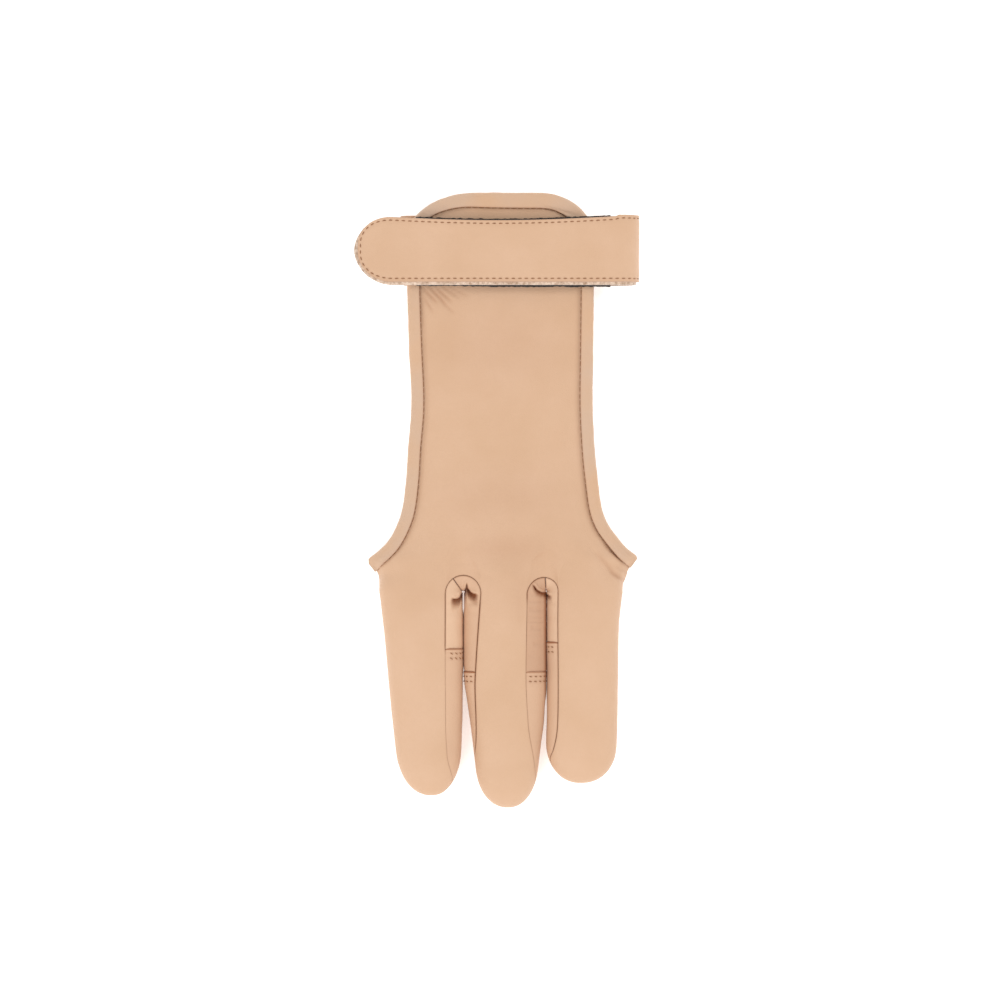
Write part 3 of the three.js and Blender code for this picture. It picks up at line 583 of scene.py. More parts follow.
def outer_state(piece):
    """The places and the normals of a piece's outer points, in the form's millimetres."""
    mesh = piece.data
    total = len(mesh.vertices)
    places = np.empty(total * 3)
    normals = np.empty(total * 3)
    mesh.vertices.foreach_get("co", places)
    mesh.vertices.foreach_get("normal", normals)
    count = piece["outer_points"]
    return places.reshape(-1, 3)[:count] / MM - SHIFT, normals.reshape(-1, 3)[:count]


# The upper leather is what lies above the first height, and sinks in full from the second one above it
UPPER_START = 3.5
UPPER_RISE = 7


def raise_outer(piece, heights, drop=None):
    """Moves a piece's outer points along their normals by heights in millimetres.

    drop gives how far both sides of the upper leather sink at their places in the plan.
    """
    places, normals = outer_state(piece)
    mesh = piece.data
    count = piece["outer_points"]
    co = np.empty(len(mesh.vertices) * 3)
    mesh.vertices.foreach_get("co", co)
    co = co.reshape(-1, 3)
    before = co / MM - SHIFT
    co[:count] = (places + normals * heights[:, None] + SHIFT) * MM
    if drop is not None:
        co[:, 2] -= drop(before) * smooth((before[:, 2] - UPPER_START) / UPPER_RISE) * MM
    co[:, 2] = np.maximum(co[:, 2], FLOOR_CLEARANCE * MM)
    mesh.vertices.foreach_set("co", co.reshape(-1))
    mesh.update()


def run_along(path):
    """How far along a path each of its points lies."""
    return np.concatenate([[0], np.cumsum(np.linalg.norm(np.diff(path, axis=0), axis=1))])


def between(at, run, rows):
    """Rows of numbers, given along a run, read at other places of it."""
    return np.stack([np.interp(at, run, column) for column in rows.T], -1)


def distance_to(places, path):
    """Distance of each place to the nearest point of a path, and which point that is."""
    tree = kdtree.KDTree(len(path))
    for i, point in enumerate(path):
        tree.insert(point, i)
    tree.balance()
    found = [tree.find(place)[1:] for place in places.tolist()]
    return np.array([f[1] for f in found]), np.array([f[0] for f in found])


def waves(places, size, seed):
    """Smooth noise between about -1 and 1 with bumps of a size in millimetres."""
    offset = Vector((seed * 17.3, seed * 5.7, seed * 11.1))
    return np.array([noise.noise(Vector(p) / size + offset) for p in places.tolist()])


def roll(distance, radius, depth):
    """The drop of a leather edge that rolls under towards a seam."""
    t = 1 - ramp(distance, radius)
    return -depth * (1 - np.sqrt(np.maximum(0, 1 - t * t)))


def to_piece(points, start, end):
    """Distance of plan points to a straight piece, and the share of it at which the nearest point lies."""
    a, b = np.array(start, float), np.array(end, float)
    along = np.clip((points - a) @ (b - a) / ((b - a) @ (b - a)), 0, 1)
    return np.linalg.norm(points - (a + along[:, None] * (b - a)), axis=1), along


def crease(places, start, end, width, depth):
    """A soft crease between two plan points, tapering at both ends."""
    distance, along = to_piece(places[:, :2], start, end)
    fade = np.sqrt(np.sin(np.pi * np.clip(along, 0.02, 0.98)))
    return -depth * bell(distance, width) * fade


def set_shade(piece, values):
    """Keeps how much painted shade lies on each point, from 0 to 1, for the materials: the seams' shadow and
    the other painted shade.
    """
    shade = piece.data.attributes.new("painted_shade", "FLOAT", "POINT")
    shade.data.foreach_set("value", np.tile(np.clip(values, 0, 1), 2))


def dress(piece, slot, *nodes):
    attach(piece, "root")
    if nodes:
        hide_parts(*nodes)
    return piece


def photo_place(column, row):
    """A place in the photograph's frame, as plan millimetres of the form."""
    return (column - PHOTO_ZERO_COLUMN) * PHOTO_SCALE, (PHOTO_PIXELS / 2 - row) * PHOTO_SCALE


def creases(places, rows):
    """The creases of a table together, from and to pixels of the photograph."""
    height = np.zeros(len(places))
    for start, end, width, depth in rows:
        height += crease(places, photo_place(*start), photo_place(*end), width, depth)
    return height


# Creases that the leather has kept: pixels of the photograph from which to which, width and depth in mm
PANEL_CREASES = (
    ((423, 288), (437, 303), 0.5, 0.45),
    ((428, 286), (446, 304), 0.5, 0.5),
    ((435, 287), (452, 302), 0.55, 0.45),
    ((442, 287), (460, 298), 0.5, 0.35),
    ((450, 288), (468, 296), 0.6, 0.25),
    ((424, 298), (433, 312), 0.5, 0.35),
    ((440, 300), (454, 313), 0.6, 0.3),
    ((455, 289), (578, 289), 1.3, 0.4),
    ((470, 296), (540, 294), 1.2, 0.14),
    ((420, 292), (421, 330), 0.8, 0.2),
    ((590, 546), (607, 573), 1.0, 0.42),
    ((597, 553), (622, 583), 0.8, 0.38),
    ((609, 571), (627, 584), 0.7, 0.26),
    ((604, 543), (629, 566), 0.9, 0.36),
    ((614, 566), (628, 574), 0.5, 0.2),
    ((466, 560), (540, 557), 5.0, 0.7),
    ((496, 545), (528, 553), 7.0, 0.5),
    ((468, 570), (491, 577), 1.1, 0.22),
    ((486, 573), (498, 582), 1.1, 0.14),
    ((387, 568), (420, 582), 4.0, 0.3),
    ((392, 578), (405, 600), 3.0, 0.2),
    ((520, 585), (524, 640), 1.5, 0.3),
    ((494, 300), (560, 297), 2.0, 0.14),
)

# How much darker a crease is for each millimetre of its depth, if it is narrower than this in mm
CREASE_SHADE = 0.6
NARROW_CREASE = 1.0

# A fold at the wrist hem's right corner, as the creases
HEM_CREASES = (((541, 206), (573, 214), 0.5, 0.5), ((434, 213), (452, 203), 0.7, 0.2))

# Patches of painted shade on the panel: over the dip above the crotches, down the middle finger's right side,
# under the strap's lower edge, among the upper-left wrinkles and broadly down its middle. Centre, half sizes
# in pixels of the photograph, and strength
PAINTED_SHADE_PATCHES = (
    ((508, 549), (46, 14), 0.15),
    ((520, 600), (9, 30), 0.06),
    ((505, 287), (90, 4), 0.16),
    ((435, 296), (14, 9), 0.1),
    ((505, 345), (75, 42), 0.1),
    ((505, 500), (75, 32), 0.09),
    ((505, 590), (110, 30), 0.06),
)

# Slits between neighbouring fingers whose walls touch: midline's top and bottom in the photograph, and how
# far the walls swell towards each other in millimetres
SLITS = (((463.0, 607), (463.3, 678), 0.31), ((544.8, 586), (545.0, 707), 0.45))

# Where seams show only as a soft crease: corners in pixels of the photograph, and what is left of them
SOFT_SEAMS = (
    ((438, 644), (462, 800), 0.22),
    ((523, 596), (545, 800), 0.3),
    ((340, 560), (392, 606), 0.2),
    ((612, 556), (660, 606), 0.2),
    ((470, 596), (484, 790), 1.6),
)

# Folded leather of the crotches: the flap's free edge, depth in mm under it, and how far south it reaches
FLAPS = (
    (((452, 598), (455, 598.6), (458, 598), (459.5, 597), (461, 593.5), (464, 591), (466, 587.5),
      (466.8, 583.5), (468, 588), (471, 591.8), (474, 593.5), (477, 594)), 4.2, 7.5),
    (((533, 584), (535, 586.8), (537, 589.6), (541, 591.8), (545, 592.8), (548.5, 594.8),
      (551, 596)), 2.4, 4.2),
)


def to_photo(places):
    """Columns and rows of the photograph for places in the form's plan."""
    return places[:, 0] / PHOTO_SCALE + PHOTO_ZERO_COLUMN, PHOTO_PIXELS / 2 - places[:, 1] / PHOTO_SCALE


# Where the sides swell out below the wings: pixels of the photograph, half height and size in mm
WING_SWELLS = (((625, 577), 8.0, 1.0), ((379, 582), 9.0, 0.55))


def wing_swell(places):
    """How far the leather stands out beside the outer fingers' roots."""
    column, row = to_photo(places)
    swell = np.zeros(len(places))
    for (x, y), half, size in WING_SWELLS:
        swell += size * bell(row - y, half) * smooth(1.6 - np.abs(column - x) / 9)
    return swell


# At a finger's tip the seams keep this share of their strength, and have it all again this far away in mm
POLE_SEAM = 0.15
POLE_REACH = 2.2


def seam_strength(places):
    """How strongly the seams show at each place."""
    column, row = to_photo(places)
    strength = np.ones(len(places))
    for (left, top), (right, bottom), left_over in SOFT_SEAMS:
        inside = smooth((column - left) / 2) * smooth((right - column) / 2)
        inside *= smooth((row - top) / 10) * smooth((bottom - row) / 10)
        strength -= inside * (1 - left_over)
    # The seams run out flat at the very tips, where the skins close to a point
    for finger in FINGERS:
        pole = skin(finger, np.array(0.0), np.array(1.0))
        away = np.linalg.norm(places - pole, axis=1)
        strength *= mix(POLE_SEAM, 1, smooth(away / POLE_REACH))
    return strength


# A slit's half width and how softly it starts and ends, in pixels of the photograph
SLIT_WIDTH = 1.9
SLIT_START = 7
SLIT_END = 16


def slit_wall(places):
    """How near each place is to a slit in which two fingers' walls touch, from 0 to 1, and the swelling."""
    column, row = to_photo(places)
    near = np.zeros(len(places))
    swelling = np.zeros(len(places))
    for (top_x, top), (bottom_x, bottom), size in SLITS:
        middle = mix(top_x, bottom_x, np.clip((row - top) / (bottom - top), 0, 1))
        along = smooth((row - top) / SLIT_START) * smooth((bottom - row) / SLIT_END)
        here = bell(column - middle, SLIT_WIDTH) * along
        near += here
        swelling += here * size
    return near, swelling


# How far a flap's rolled edge stands up, in millimetres
FLAP_LIFT = 0.3


def under_flaps(places):
    """Drop and shade of the leather under the crotches' flaps, and the lift of the flaps' rolled edge."""
    column, row = to_photo(places)
    drop = np.zeros(len(places))
    lift = np.zeros(len(places))
    shade = np.zeros(len(places))
    for edge, depth, reach in FLAPS:
        edge = np.array(edge)
        past = row - np.interp(column, edge[:, 0], edge[:, 1])
        points = np.column_stack([column, row])
        away = np.min([to_piece(points, a, b)[0] for a, b in zip(edge[:-1], edge[1:])], axis=0)
        away *= np.sign(past)
        inside = smooth((column - edge[0, 0] + 1) / 3) * smooth((edge[-1, 0] + 1 - column) / 3)
        under = smooth((away + 0.5) / 1.5)
        south = np.maximum(past, 0)
        drop += depth * inside * under * bell(south, reach)
        shade += inside * smooth((away + 0.3) / 0.9) * bell(south, 0.75 * reach)
        lift += FLAP_LIFT * inside * bell(away + 1.8, 1.3)
    return drop, lift, shade


def sew(name, path, normals, material, pitch, length, radius, slant=0.0, sink=0.25):
    """A row of thread stitches along a path on a surface: one joined mesh of short bowed threads."""
    path, normals = np.asarray(path, float), np.asarray(normals, float)
    run = run_along(path)
    count = max(1, int(run[-1] / pitch))
    spare = run[-1] - count * pitch

    def at(distance):
        normal = between(distance, run, normals)
        return between(distance, run, path), normal / np.linalg.norm(normal)

    verts, faces = [], []
    sides, rings = 6, 7
    for i in range(count):
        start = spare / 2 + (i + 0.5) * pitch - length / 2
        base = len(verts)
        _, up = at(start + length / 2)
        ahead = at(start + length)[0] - at(start)[0]
        ahead /= np.linalg.norm(ahead)
        across = np.cross(up, ahead)
        for r in range(rings):
            t = r / (rings - 1)
            place, normal = at(start + length * t)
            bow = math.sin(math.pi * t)
            place = place + across * slant * (t - 0.5) * 2
            place = place + normal * radius * (bow * (1 + sink) - sink * 1.6)
            thick = radius * (0.55 + 0.45 * bow)
            for s in range(sides):
                turn = 2 * math.pi * s / sides
                verts.append(place + across * thick * math.cos(turn) + up * thick * 0.8 * math.sin(turn))
        for r in range(rings - 1):
            for s in range(sides):
                a, b = base + r * sides + s, base + r * sides + (s + 1) % sides
                faces.append([a, b, b + sides, a + sides])
        faces.append([base + s for s in reversed(range(sides))])
        faces.append([base + (rings - 1) * sides + s for s in range(sides)])
    mesh = bpy.data.meshes.new(name)
    verts = np.array(verts)
    verts[:, 2] = np.maximum(verts[:, 2], FLOOR_CLEARANCE)
    mesh.from_pydata(((verts + SHIFT) * MM).tolist(), [], faces)
    mesh.materials.append(material)
    mesh.polygons.foreach_set("use_smooth", [True] * len(mesh.polygons))
    mesh.update()
    return dress(place_object(name, mesh), "thread")


def linear(hex_colour):
    """An sRGB hex colour as a linear RGBA value."""
    channels = [int(hex_colour[i : i + 2], 16) / 255 for i in (1, 3, 5)]
    return [c / 12.92 if c <= 0.04045 else ((c + 0.055) / 1.055) ** 2.4 for c in channels] + [1.0]


def add_node(tree, kind, links=None, **settings):
    """Adds one node. Links map an input's name or number to a value or to another node's output."""
    node = tree.nodes.new(kind)
    for key, value in settings.items():
        setattr(node, key, value)
    for key, value in (links or {}).items():
        socket = node.inputs[key]
        if isinstance(value, bpy.types.NodeSocket):
            tree.links.new(value, socket)
        else:
            socket.default_value = value
    return node


def new_material(name, roughness, **constants):
    """An empty material with its shader, whose constant values are set on the shader's own sockets."""
    material = bpy.data.materials.new(name)
    material.use_nodes = True
    tree = material.node_tree
    shader = tree.nodes["Principled BSDF"]
    shader.inputs["Roughness"].default_value = roughness
    for key, value in constants.items():
        shader.inputs[key.replace("_", " ")].default_value = value
    return material, tree, shader


def object_place(tree):
    return add_node(tree, "ShaderNodeTexCoord").outputs["Object"]


def noise_pattern(tree, size, detail):
    """Noise on the piece itself, with a pattern about as large as a size in metres."""
    inputs = {"Vector": object_place(tree), "Scale": 1 / size, "Detail": detail}
    return add_node(tree, "ShaderNodeTexNoise", inputs).outputs["Fac"]


def ranged(tree, value, **limits):
    """A value mapped from one range to another."""
    inputs = {key.replace("_", " ").title(): limit for key, limit in limits.items()}
    return add_node(tree, "ShaderNodeMapRange", {"Value": value, **inputs}).outputs["Result"]


def two_tones(tree, factor, first, second):
    """A mix of two colours, each a hex value or another node's output."""
    first, second = (linear(c) if isinstance(c, str) else c for c in (first, second))
    inputs = {"Factor": factor, 6: first, 7: second}
    return add_node(tree, "ShaderNodeMix", inputs, data_type="RGBA").outputs[2]


def seam_shaded(tree, colour, seam):
    """A colour with the stored painted shade over it: the seams' shadow and the shade painted in creases,
    patches, flaps, slits and tips.
    """
    shade = add_node(tree, "ShaderNodeAttribute", attribute_name="painted_shade")
    return two_tones(tree, shade.outputs["Fac"], colour, seam)


def cover(tree, shader, colour, height, depth, strength, invert=False):
    """Gives the shader its colour, and a relief with a depth in metres."""
    inputs = {"Height": height, "Distance": depth, "Strength": strength}
    bump = add_node(tree, "ShaderNodeBump", inputs, invert=invert)
    tree.links.new(colour, shader.inputs["Base Color"])
    tree.links.new(bump.outputs["Normal"], shader.inputs["Normal"])


def grain_leather(name, pale, deep, seam):
    """Full-grain goat leather, drum dyed and lightly ironed: fine pebbled grain, satin, warm mottling."""
    material, tree, shader = new_material(name, 0.6, IOR=1.5, Sheen_Weight=0.12, Sheen_Roughness=0.5)
    # Mottling about 22 mm across from the dye
    mottle = ranged(tree, noise_pattern(tree, 0.022, 4.0), from_min=0.3, from_max=0.7)
    tones = two_tones(tree, mottle, pale, deep)
    # Speckle about 1.6 mm across where the finish lies thinner
    speckle = ranged(tree, noise_pattern(tree, 0.0016, 3.0), from_min=0.4, from_max=0.75, to_max=0.22)
    colour = seam_shaded(tree, two_tones(tree, speckle, tones, deep), seam)
    # Grain cells 0.8 mm across, drawn coarser than goat's 0.4 mm so that they show
    inputs = {"Vector": object_place(tree), "Scale": 1 / 0.0008}
    cells = add_node(tree, "ShaderNodeTexVoronoi", inputs, feature="DISTANCE_TO_EDGE")
    pebbles = ranged(tree, cells.outputs["Distance"], from_max=0.22)
    raised = add_node(tree, "ShaderNodeMath", {0: pebbles, 1: 0.35}, operation="MULTIPLY").outputs[0]
    # The hide's own relief, 4.5 mm across, is also where it shines
    hide = noise_pattern(tree, 0.0045, 5.0)
    height = add_node(tree, "ShaderNodeMath", {0: raised, 1: hide}, operation="ADD").outputs[0]
    cover(tree, shader, colour, height, 0.00018, 0.55)
    tree.links.new(ranged(tree, hide, to_min=0.52, to_max=0.7), shader.inputs["Roughness"])
    return material


def flesh_leather(name, pale, deep, seam):
    """The flesh side of the leather, buffed to a short suede nap: matt and slightly patchy."""
    material, tree, shader = new_material(name, 0.92, IOR=1.45, Sheen_Weight=0.4, Sheen_Roughness=0.4)
    # Brushed patches 9 mm across, and nap fibres 0.5 mm apart
    colour = seam_shaded(tree, two_tones(tree, noise_pattern(tree, 0.009, 5.0), pale, deep), seam)
    cover(tree, shader, colour, noise_pattern(tree, 0.0005, 4.0), 0.0002, 0.7)
    return material


def felt(name, pale, deep):
    """Needled felt backing, cut with a raw edge: matt, cream, with loose fibres in 1.2 mm tufts."""
    material, tree, shader = new_material(name, 0.95, IOR=1.45, Sheen_Weight=0.6, Sheen_Roughness=0.6)
    tufts = noise_pattern(tree, 0.0012, 6.0)
    colour = two_tones(tree, ranged(tree, tufts, from_min=0.35, from_max=0.7), pale, deep)
    cover(tree, shader, colour, tufts, 0.0004, 0.8)
    return material


def woven_tape(name, colour, highlight, pitch):
    """Woven nylon tape with a pile of hooks or loops: rows at a pitch in metres, dull black."""
    material, tree, shader = new_material(name, 0.75, IOR=1.53, Sheen_Weight=0.3, Sheen_Roughness=0.4)
    inputs = {"Vector": object_place(tree), "Scale": 1 / pitch}
    pile = add_node(tree, "ShaderNodeTexVoronoi", inputs).outputs["Distance"]
    cover(tree, shader, two_tones(tree, pile, highlight, colour), pile, 0.0004, 0.8, invert=True)
    return material


def bonded_thread(name, colour, dark):
    """Twisted polyester sewing thread, bonded: slight gloss, with the plies' twist at 0.35 mm."""
    material, tree, shader = new_material(name, 0.5, IOR=1.5, Sheen_Weight=0.2, Sheen_Roughness=0.4)
    twist = noise_pattern(tree, 0.00035, 2.0)
    cover(tree, shader, two_tones(tree, twist, colour, dark), twist, 0.0001, 0.6)
    return material


def length_property(name, description, value):
    return bpy.props.FloatProperty(name=name, description=description, default=value, unit="LENGTH")


class GloveSewing(bpy.types.PropertyGroup):
    """Sizes of the seams and the sewing thread."""

    thread: length_property("Thread", "Thickness of the sewing thread", 0.00036)
    pitch: length_property("Stitch pitch", "Distance from one stitch to the next", 0.0024)
    stitch: length_property("Stitch", "Length of thread that shows between two holes", 0.0016)
    roll_radius: length_property("Seam roll", "How far from a seam the leather rolls under", 0.0007)
    roll_depth: length_property("Seam depth", "How deep the leather rolls under at a seam", 0.0002)
    creases: bpy.props.FloatProperty(
        name="Creases", description="Strength of the creases in the leather", default=1.0, subtype="FACTOR",
    )


def colour_property(name, description, value):
    return bpy.props.StringProperty(name=name, description=description, default=value, subtype="NONE")


class GloveColours(bpy.types.PropertyGroup):
    """Colours of the glove, as sRGB hex values."""

    grain: colour_property("Grain", "Palest tone of the grain side", "#d3ad8e")
    # Painted light: a paler copy of the grain colour, which lifts the strips and tips where their sloping
    # sides get less light
    grain_deep: colour_property("Deep grain", "Deepest tone of the grain side", "#cda685")
    strip: colour_property("Strips and tips", "Grain side of the strips and the fingertips", "#dcb696")
    binding: colour_property("Bindings", "Grain side of the bindings, cut from a paler hide", "#c8aa92")
    seam: colour_property("Seam", "Shadow line along the seams", "#955830")
    flesh: colour_property("Flesh side", "Suede inside of the leather", "#e2c8a9")
    flesh_deep: colour_property("Deep flesh side", "Deepest tone of the suede inside", "#cba987")
    thread: colour_property("Thread", "Sewing thread", "#a86c3c")
    thread_dark: colour_property("Dark thread", "Hollows of the thread's twist", "#6f452b")
    felt: colour_property("Felt", "Backing of the strap", "#e8d2be")
    felt_deep: colour_property("Deep felt", "Hollows of the backing", "#a8876c")
    tape: colour_property("Tape", "Hook and loop tape", "#17120f")
    tape_light: colour_property("Tape pile", "Tips of the hooks and loops", "#3a322d")
    floor: colour_property("Floor", "Surface that the glove lies on", "#f7f7f7")


MATERIALS = {}


def materials(context):
    """Makes the glove's materials once, from the panel's colours."""
    if not MATERIALS:
        c = context.scene.glove_colours
        MATERIALS["grain"] = grain_leather("grain_leather", c.grain, c.grain_deep, c.seam)
        # The paler copy of the grain side is painted light on the strips and tips
        MATERIALS["strip"] = grain_leather("strip_leather_painted_light", c.strip, c.grain, c.seam)
        MATERIALS["binding"] = grain_leather("binding_leather", c.binding, c.grain_deep, c.seam)
        MATERIALS["flesh"] = flesh_leather("suede_flesh_side", c.flesh, c.flesh_deep, c.flesh_deep)
        MATERIALS["cut"] = flesh_leather("cut_leather_edge", c.grain, c.flesh_deep, c.seam)
        MATERIALS["felt"] = felt("needled_felt", c.felt, c.felt_deep)
        MATERIALS["hooks"] = woven_tape("hook_tape_nylon", c.tape, c.tape_light, 0.0011)
        MATERIALS["loops"] = woven_tape("loop_tape_nylon", c.tape, c.tape_light, 0.0006)
        MATERIALS["thread"] = bonded_thread("bonded_thread", c.thread, c.thread_dark)
    return MATERIALS


def leather_set(context, grain="grain"):
    m = materials(context)
    return [m[grain], m["flesh"], m["cut"]]


def finger_rows(finger, gap=SEWN_GAP):
    """Rows along a finger from the crotch to the tip, with one at the reinforced tip's edge."""
    bare = shares_for(finger.bare_front) * finger.tip_edge(-1, gap)
    straight = (finger.tip_start - finger.tip_edge(1, gap)) * finger.length
    body = mix(finger.tip_edge(1, gap), finger.tip_start, shares_for(straight)[:-3])
    turns = np.radians(np.linspace(0, 90, 20))
    tip = mix(finger.tip_start, 1.0, np.sin(turns) ** (2 / TIP_POWER))
    return bare, np.concatenate([body[:-1], tip])


def span_points(finger, span, shares, rows, side, inset):
    """A grid on a finger in a span of angles, from the crotch row to the tip."""
    start, end = span(finger, np.minimum(rows, 0.999))
    angle = mix(start[:, None], end[:, None], shares[None, :])
    points = skin(finger, angle, rows[:, None], inset)
    if rows[-1] == 1:
        points[-1, :, 2] += side * SEWN_GAP / 2
    return points


def back_rows():
    """Rows of the hand's back from the wrist edge down to the crotches."""
    straight = mix(CROTCH_Y, CORNER_Y, shares_for(CORNER_Y - CROTCH_Y))
    corner = CORNER_Y + CORNER_LENGTH * np.sin(np.radians(np.linspace(0, 90, 16)[1:]))
    return np.concatenate([corner[::-1], straight[::-1]])


# The leather's undulation: rise and size of the bumps in mm, their seed, and how far from a seam in mm
# they reach their full rise
UNDULATION = ((0.12, 16.0, 0, 6), (0.05, 5.0, 3, 3), (0.02, 1.8, 5, 1.5))

# The seams' shadow: its strength at the seam, and the distance in mm in which it falls by one
SEAM_SHADOW = 1.15
SEAM_SHADOW_WIDTH = 0.5


def finish_leather(piece, rim, sewing, shade=0.4, noise_seed=1, extra=None, dark=None, drop=None):
    """Rolls the outer skin under at its seams, adds the leather's undulation and stores the shadow."""
    places, _ = outer_state(piece)
    distance, _ = distance_to(places, places[rim])
    strength = seam_strength(places)
    height = roll(distance, sewing.roll_radius / MM, sewing.roll_depth / MM) * strength
    for rise, size, seed, reach in UNDULATION:
        height += rise * waves(places, size, noise_seed + seed) * ramp(distance, reach)
    if extra is not None:
        height += extra(places, distance)
    raise_outer(piece, height, drop)
    shadow = shade * np.clip(SEAM_SHADOW - distance / SEAM_SHADOW_WIDTH, 0, 1) * strength
    if dark is not None:
        shadow += dark(places)
    set_shade(piece, shadow)
    return piece


def hand_leather(groups, point, rows, span, side, fullness, thickness, tips):
    """The skin of the hand's back or palm, with the parts of the fingers that go on from it.

    Fullness is how much longer round than across a finger is, and tips closes the fingers at their ends.
    """
    leather = Skin()
    left = None
    for group in groups:
        width = PANEL_WIDTH * (group.end - group.start)
        shares = shares_for(width * fullness if group.finger else width)
        grids = [point(group, shares[None, :], rows[:, None], i) for i in (0.0, thickness)]
        index = leather.add(*grids, left=left)
        left = index[:, -1]
        if group.finger:
            bare, tip = finger_rows(group.finger)
            along = np.concatenate([bare, tip]) if tips else bare
            grids = [span_points(group.finger, span, shares, along, side, i) for i in (0.0, thickness)]
            leather.add(*grids, top=index[-1], pole=tips)
    return leather


# The trough beside the side bindings: depth, distance from the binding and half width in millimetres
TROUGH_DEPTH = 0.32
TROUGH_OFFSET = 0.9
TROUGH_WIDTH = 1.0


class GLOVE_OT_back_panel(bpy.types.Operator):
    """Back of the hand and of the three fingers, one piece of leather"""

    bl_idname = "glove.back_panel"
    bl_label = "Back panel"

    def execute(self, context):
        sewing = context.scene.glove_sewing
        leather = hand_leather(
            BACK_GROUPS, back_point, back_rows(), back_span,
            side=1, fullness=1.5, thickness=BACK_LEATHER, tips=True,
        )
        piece = leather.build("back_leather", leather_set(context))
        strength = sewing.creases

        def folds(places, distance):
            """Creases, and the trough that the bindings' stitches pull along the long edges."""
            height = creases(places, PANEL_CREASES)
            beside = smooth((places[:, 1] - CROTCH_Y - 9) / 3)
            height -= TROUGH_DEPTH * bell(distance - SIDE_LAP - TROUGH_OFFSET, TROUGH_WIDTH) * beside
            return height * strength + wing_swell(places)

        # Painted shade: the panel's patches, and darkening in its narrow creases
        def patches(places):
            column, row = to_photo(places)
            dark = np.zeros(len(places))
            for (x, y), (across, along), amount in PAINTED_SHADE_PATCHES:
                dark += amount * bell(column - x, across) * bell(row - y, along)
            narrow = [line for line in PANEL_CREASES if line[2] < NARROW_CREASE]
            return dark - CREASE_SHADE * creases(places, narrow)

        finish_leather(piece, leather.rim, sewing, extra=folds, dark=patches)
        dress(piece, "back_leather", "back_panel")
        return {"FINISHED"}


class GLOVE_OT_palm_leather(bpy.types.Operator):
    """Palm band and the bare fronts of the fingers, one piece of leather"""

    bl_idname = "glove.palm_leather"
    bl_label = "Palm leather"

    def execute(self, context):
        leather = hand_leather(
            PALM_GROUPS, palm_point, shares_for(PALM_BAND), palm_span,
            side=-1, fullness=1.4, thickness=FINGER_LEATHER, tips=False,
        )
        piece = leather.build("palm_leather_skin", leather_set(context))
        finish_leather(
            piece, leather.rim, context.scene.glove_sewing, noise_seed=2,
            extra=lambda places, distance: wing_swell(places),
        )
        dress(piece, "palm_leather", "palm_leather")
        return {"FINISHED"}


# How far the two rows of stitches lie from a tip's sewn edge, in millimetres
TIP_STITCH_ROWS = (1.65, 3.45)

# How far a tip's laid-on edge stands proud and in what length that fades, and how far its stitches draw in
TIP_PROUD = 0.42
TIP_PROUD_LENGTH = 9
TIP_DRAWN = 0.16

# How much painted shade darkens the stitch holes, the laid-on edge, the slit's wall and the whole tip
HOLE_SHADE = 0.36
LAP_SHADE = 0.55
TIP_SLIT_SHADE = 0.7
TIP_PAINTED_SHADE = 0.12


def fingertip(context, finger):
    """Reinforced tip of one finger, laid over the strips and the front and sewn with two rows."""
    sewing = context.scene.glove_sewing
    leather = Skin()
    rows = finger_rows(finger)[1]
    shares = shares_for(finger.width * 1.9)
    grids = [span_points(finger, pad_span, shares, rows, -1, i) for i in (0.0, FINGER_LEATHER)]
    leather.add(*grids, pole=True)
    piece = leather.build(finger.name + "_tip_leather", leather_set(context, "strip"))
    edge_y = CROTCH_Y - finger.bare_front

    def lap(places, distance):
        """The laid-on edge stands proud instead of rolling under, and the stitches draw it in."""
        along = edge_y - places[:, 1]
        seam = roll(distance, sewing.roll_radius / MM, sewing.roll_depth / MM) * seam_strength(places)
        side, _ = distance_to(places, np.concatenate([grids[0][:, 0], grids[0][:, -1]]))
        near_edge = np.clip(1 - along / 1.4, 0, 1) * ramp(side, 0.8)
        proud = TIP_PROUD * np.clip(1 - along / TIP_PROUD_LENGTH, 0, 1) * ramp(side, 1.5)
        drawn = sum(bell(along - row, 0.5) for row in TIP_STITCH_ROWS)
        wall, swelling = slit_wall(places)
        closed = swelling * ramp(side, 0.5)
        return proud * (1 - wall) - seam * near_edge - TIP_DRAWN * drawn * ramp(side, 1.5) + closed

    def edge_shadow(places):
        """The painted shadow that the laid-on edge throws, painted shade on the thread holes along both rows,
        in the slit, and evenly over the whole tip.
        """
        along = edge_y - places[:, 1]
        rows_shade = HOLE_SHADE * sum(bell(along - row, 0.3) for row in TIP_STITCH_ROWS)
        wall, _ = slit_wall(places)
        return rows_shade + LAP_SHADE * bell(along, 0.3) + TIP_SLIT_SHADE * wall ** 2 + TIP_PAINTED_SHADE

    finish_leather(piece, leather.rim, sewing, noise_seed=4, extra=lap, dark=edge_shadow)
    dress(piece, "tip_leather", finger.name + "_tip")
    # The two rows of stitches run round the finger from seam to seam
    for row, inset in enumerate(TIP_STITCH_ROWS):
        along = (finger.bare_front + inset) / finger.length
        start, end = pad_span(finger, np.array(along))
        angle = np.linspace(start + np.sign(end - start) * 1.5, end - np.sign(end - start) * 1.5, 160)
        path = skin(finger, angle, along)
        nearby = skin(finger, angle, along + 0.01)
        around = np.gradient(path, axis=0)
        normal = np.cross(around, nearby - path)
        normal /= np.linalg.norm(normal, axis=1)[:, None]
        centre = path.mean(axis=0)
        if np.mean(np.sum(normal * (path - centre), axis=1)) < 0:
            normal = -normal
        path = path + normal * 0.3
        sew(
            f"{finger.name}_tip_stitches_{row + 1}", path, normal, materials(context)["thread"],
            sewing.pitch / MM * 0.86, sewing.stitch / MM * 0.7, sewing.thread / MM / 2,
            slant=-0.32 if finger is RING else -0.12,
        )


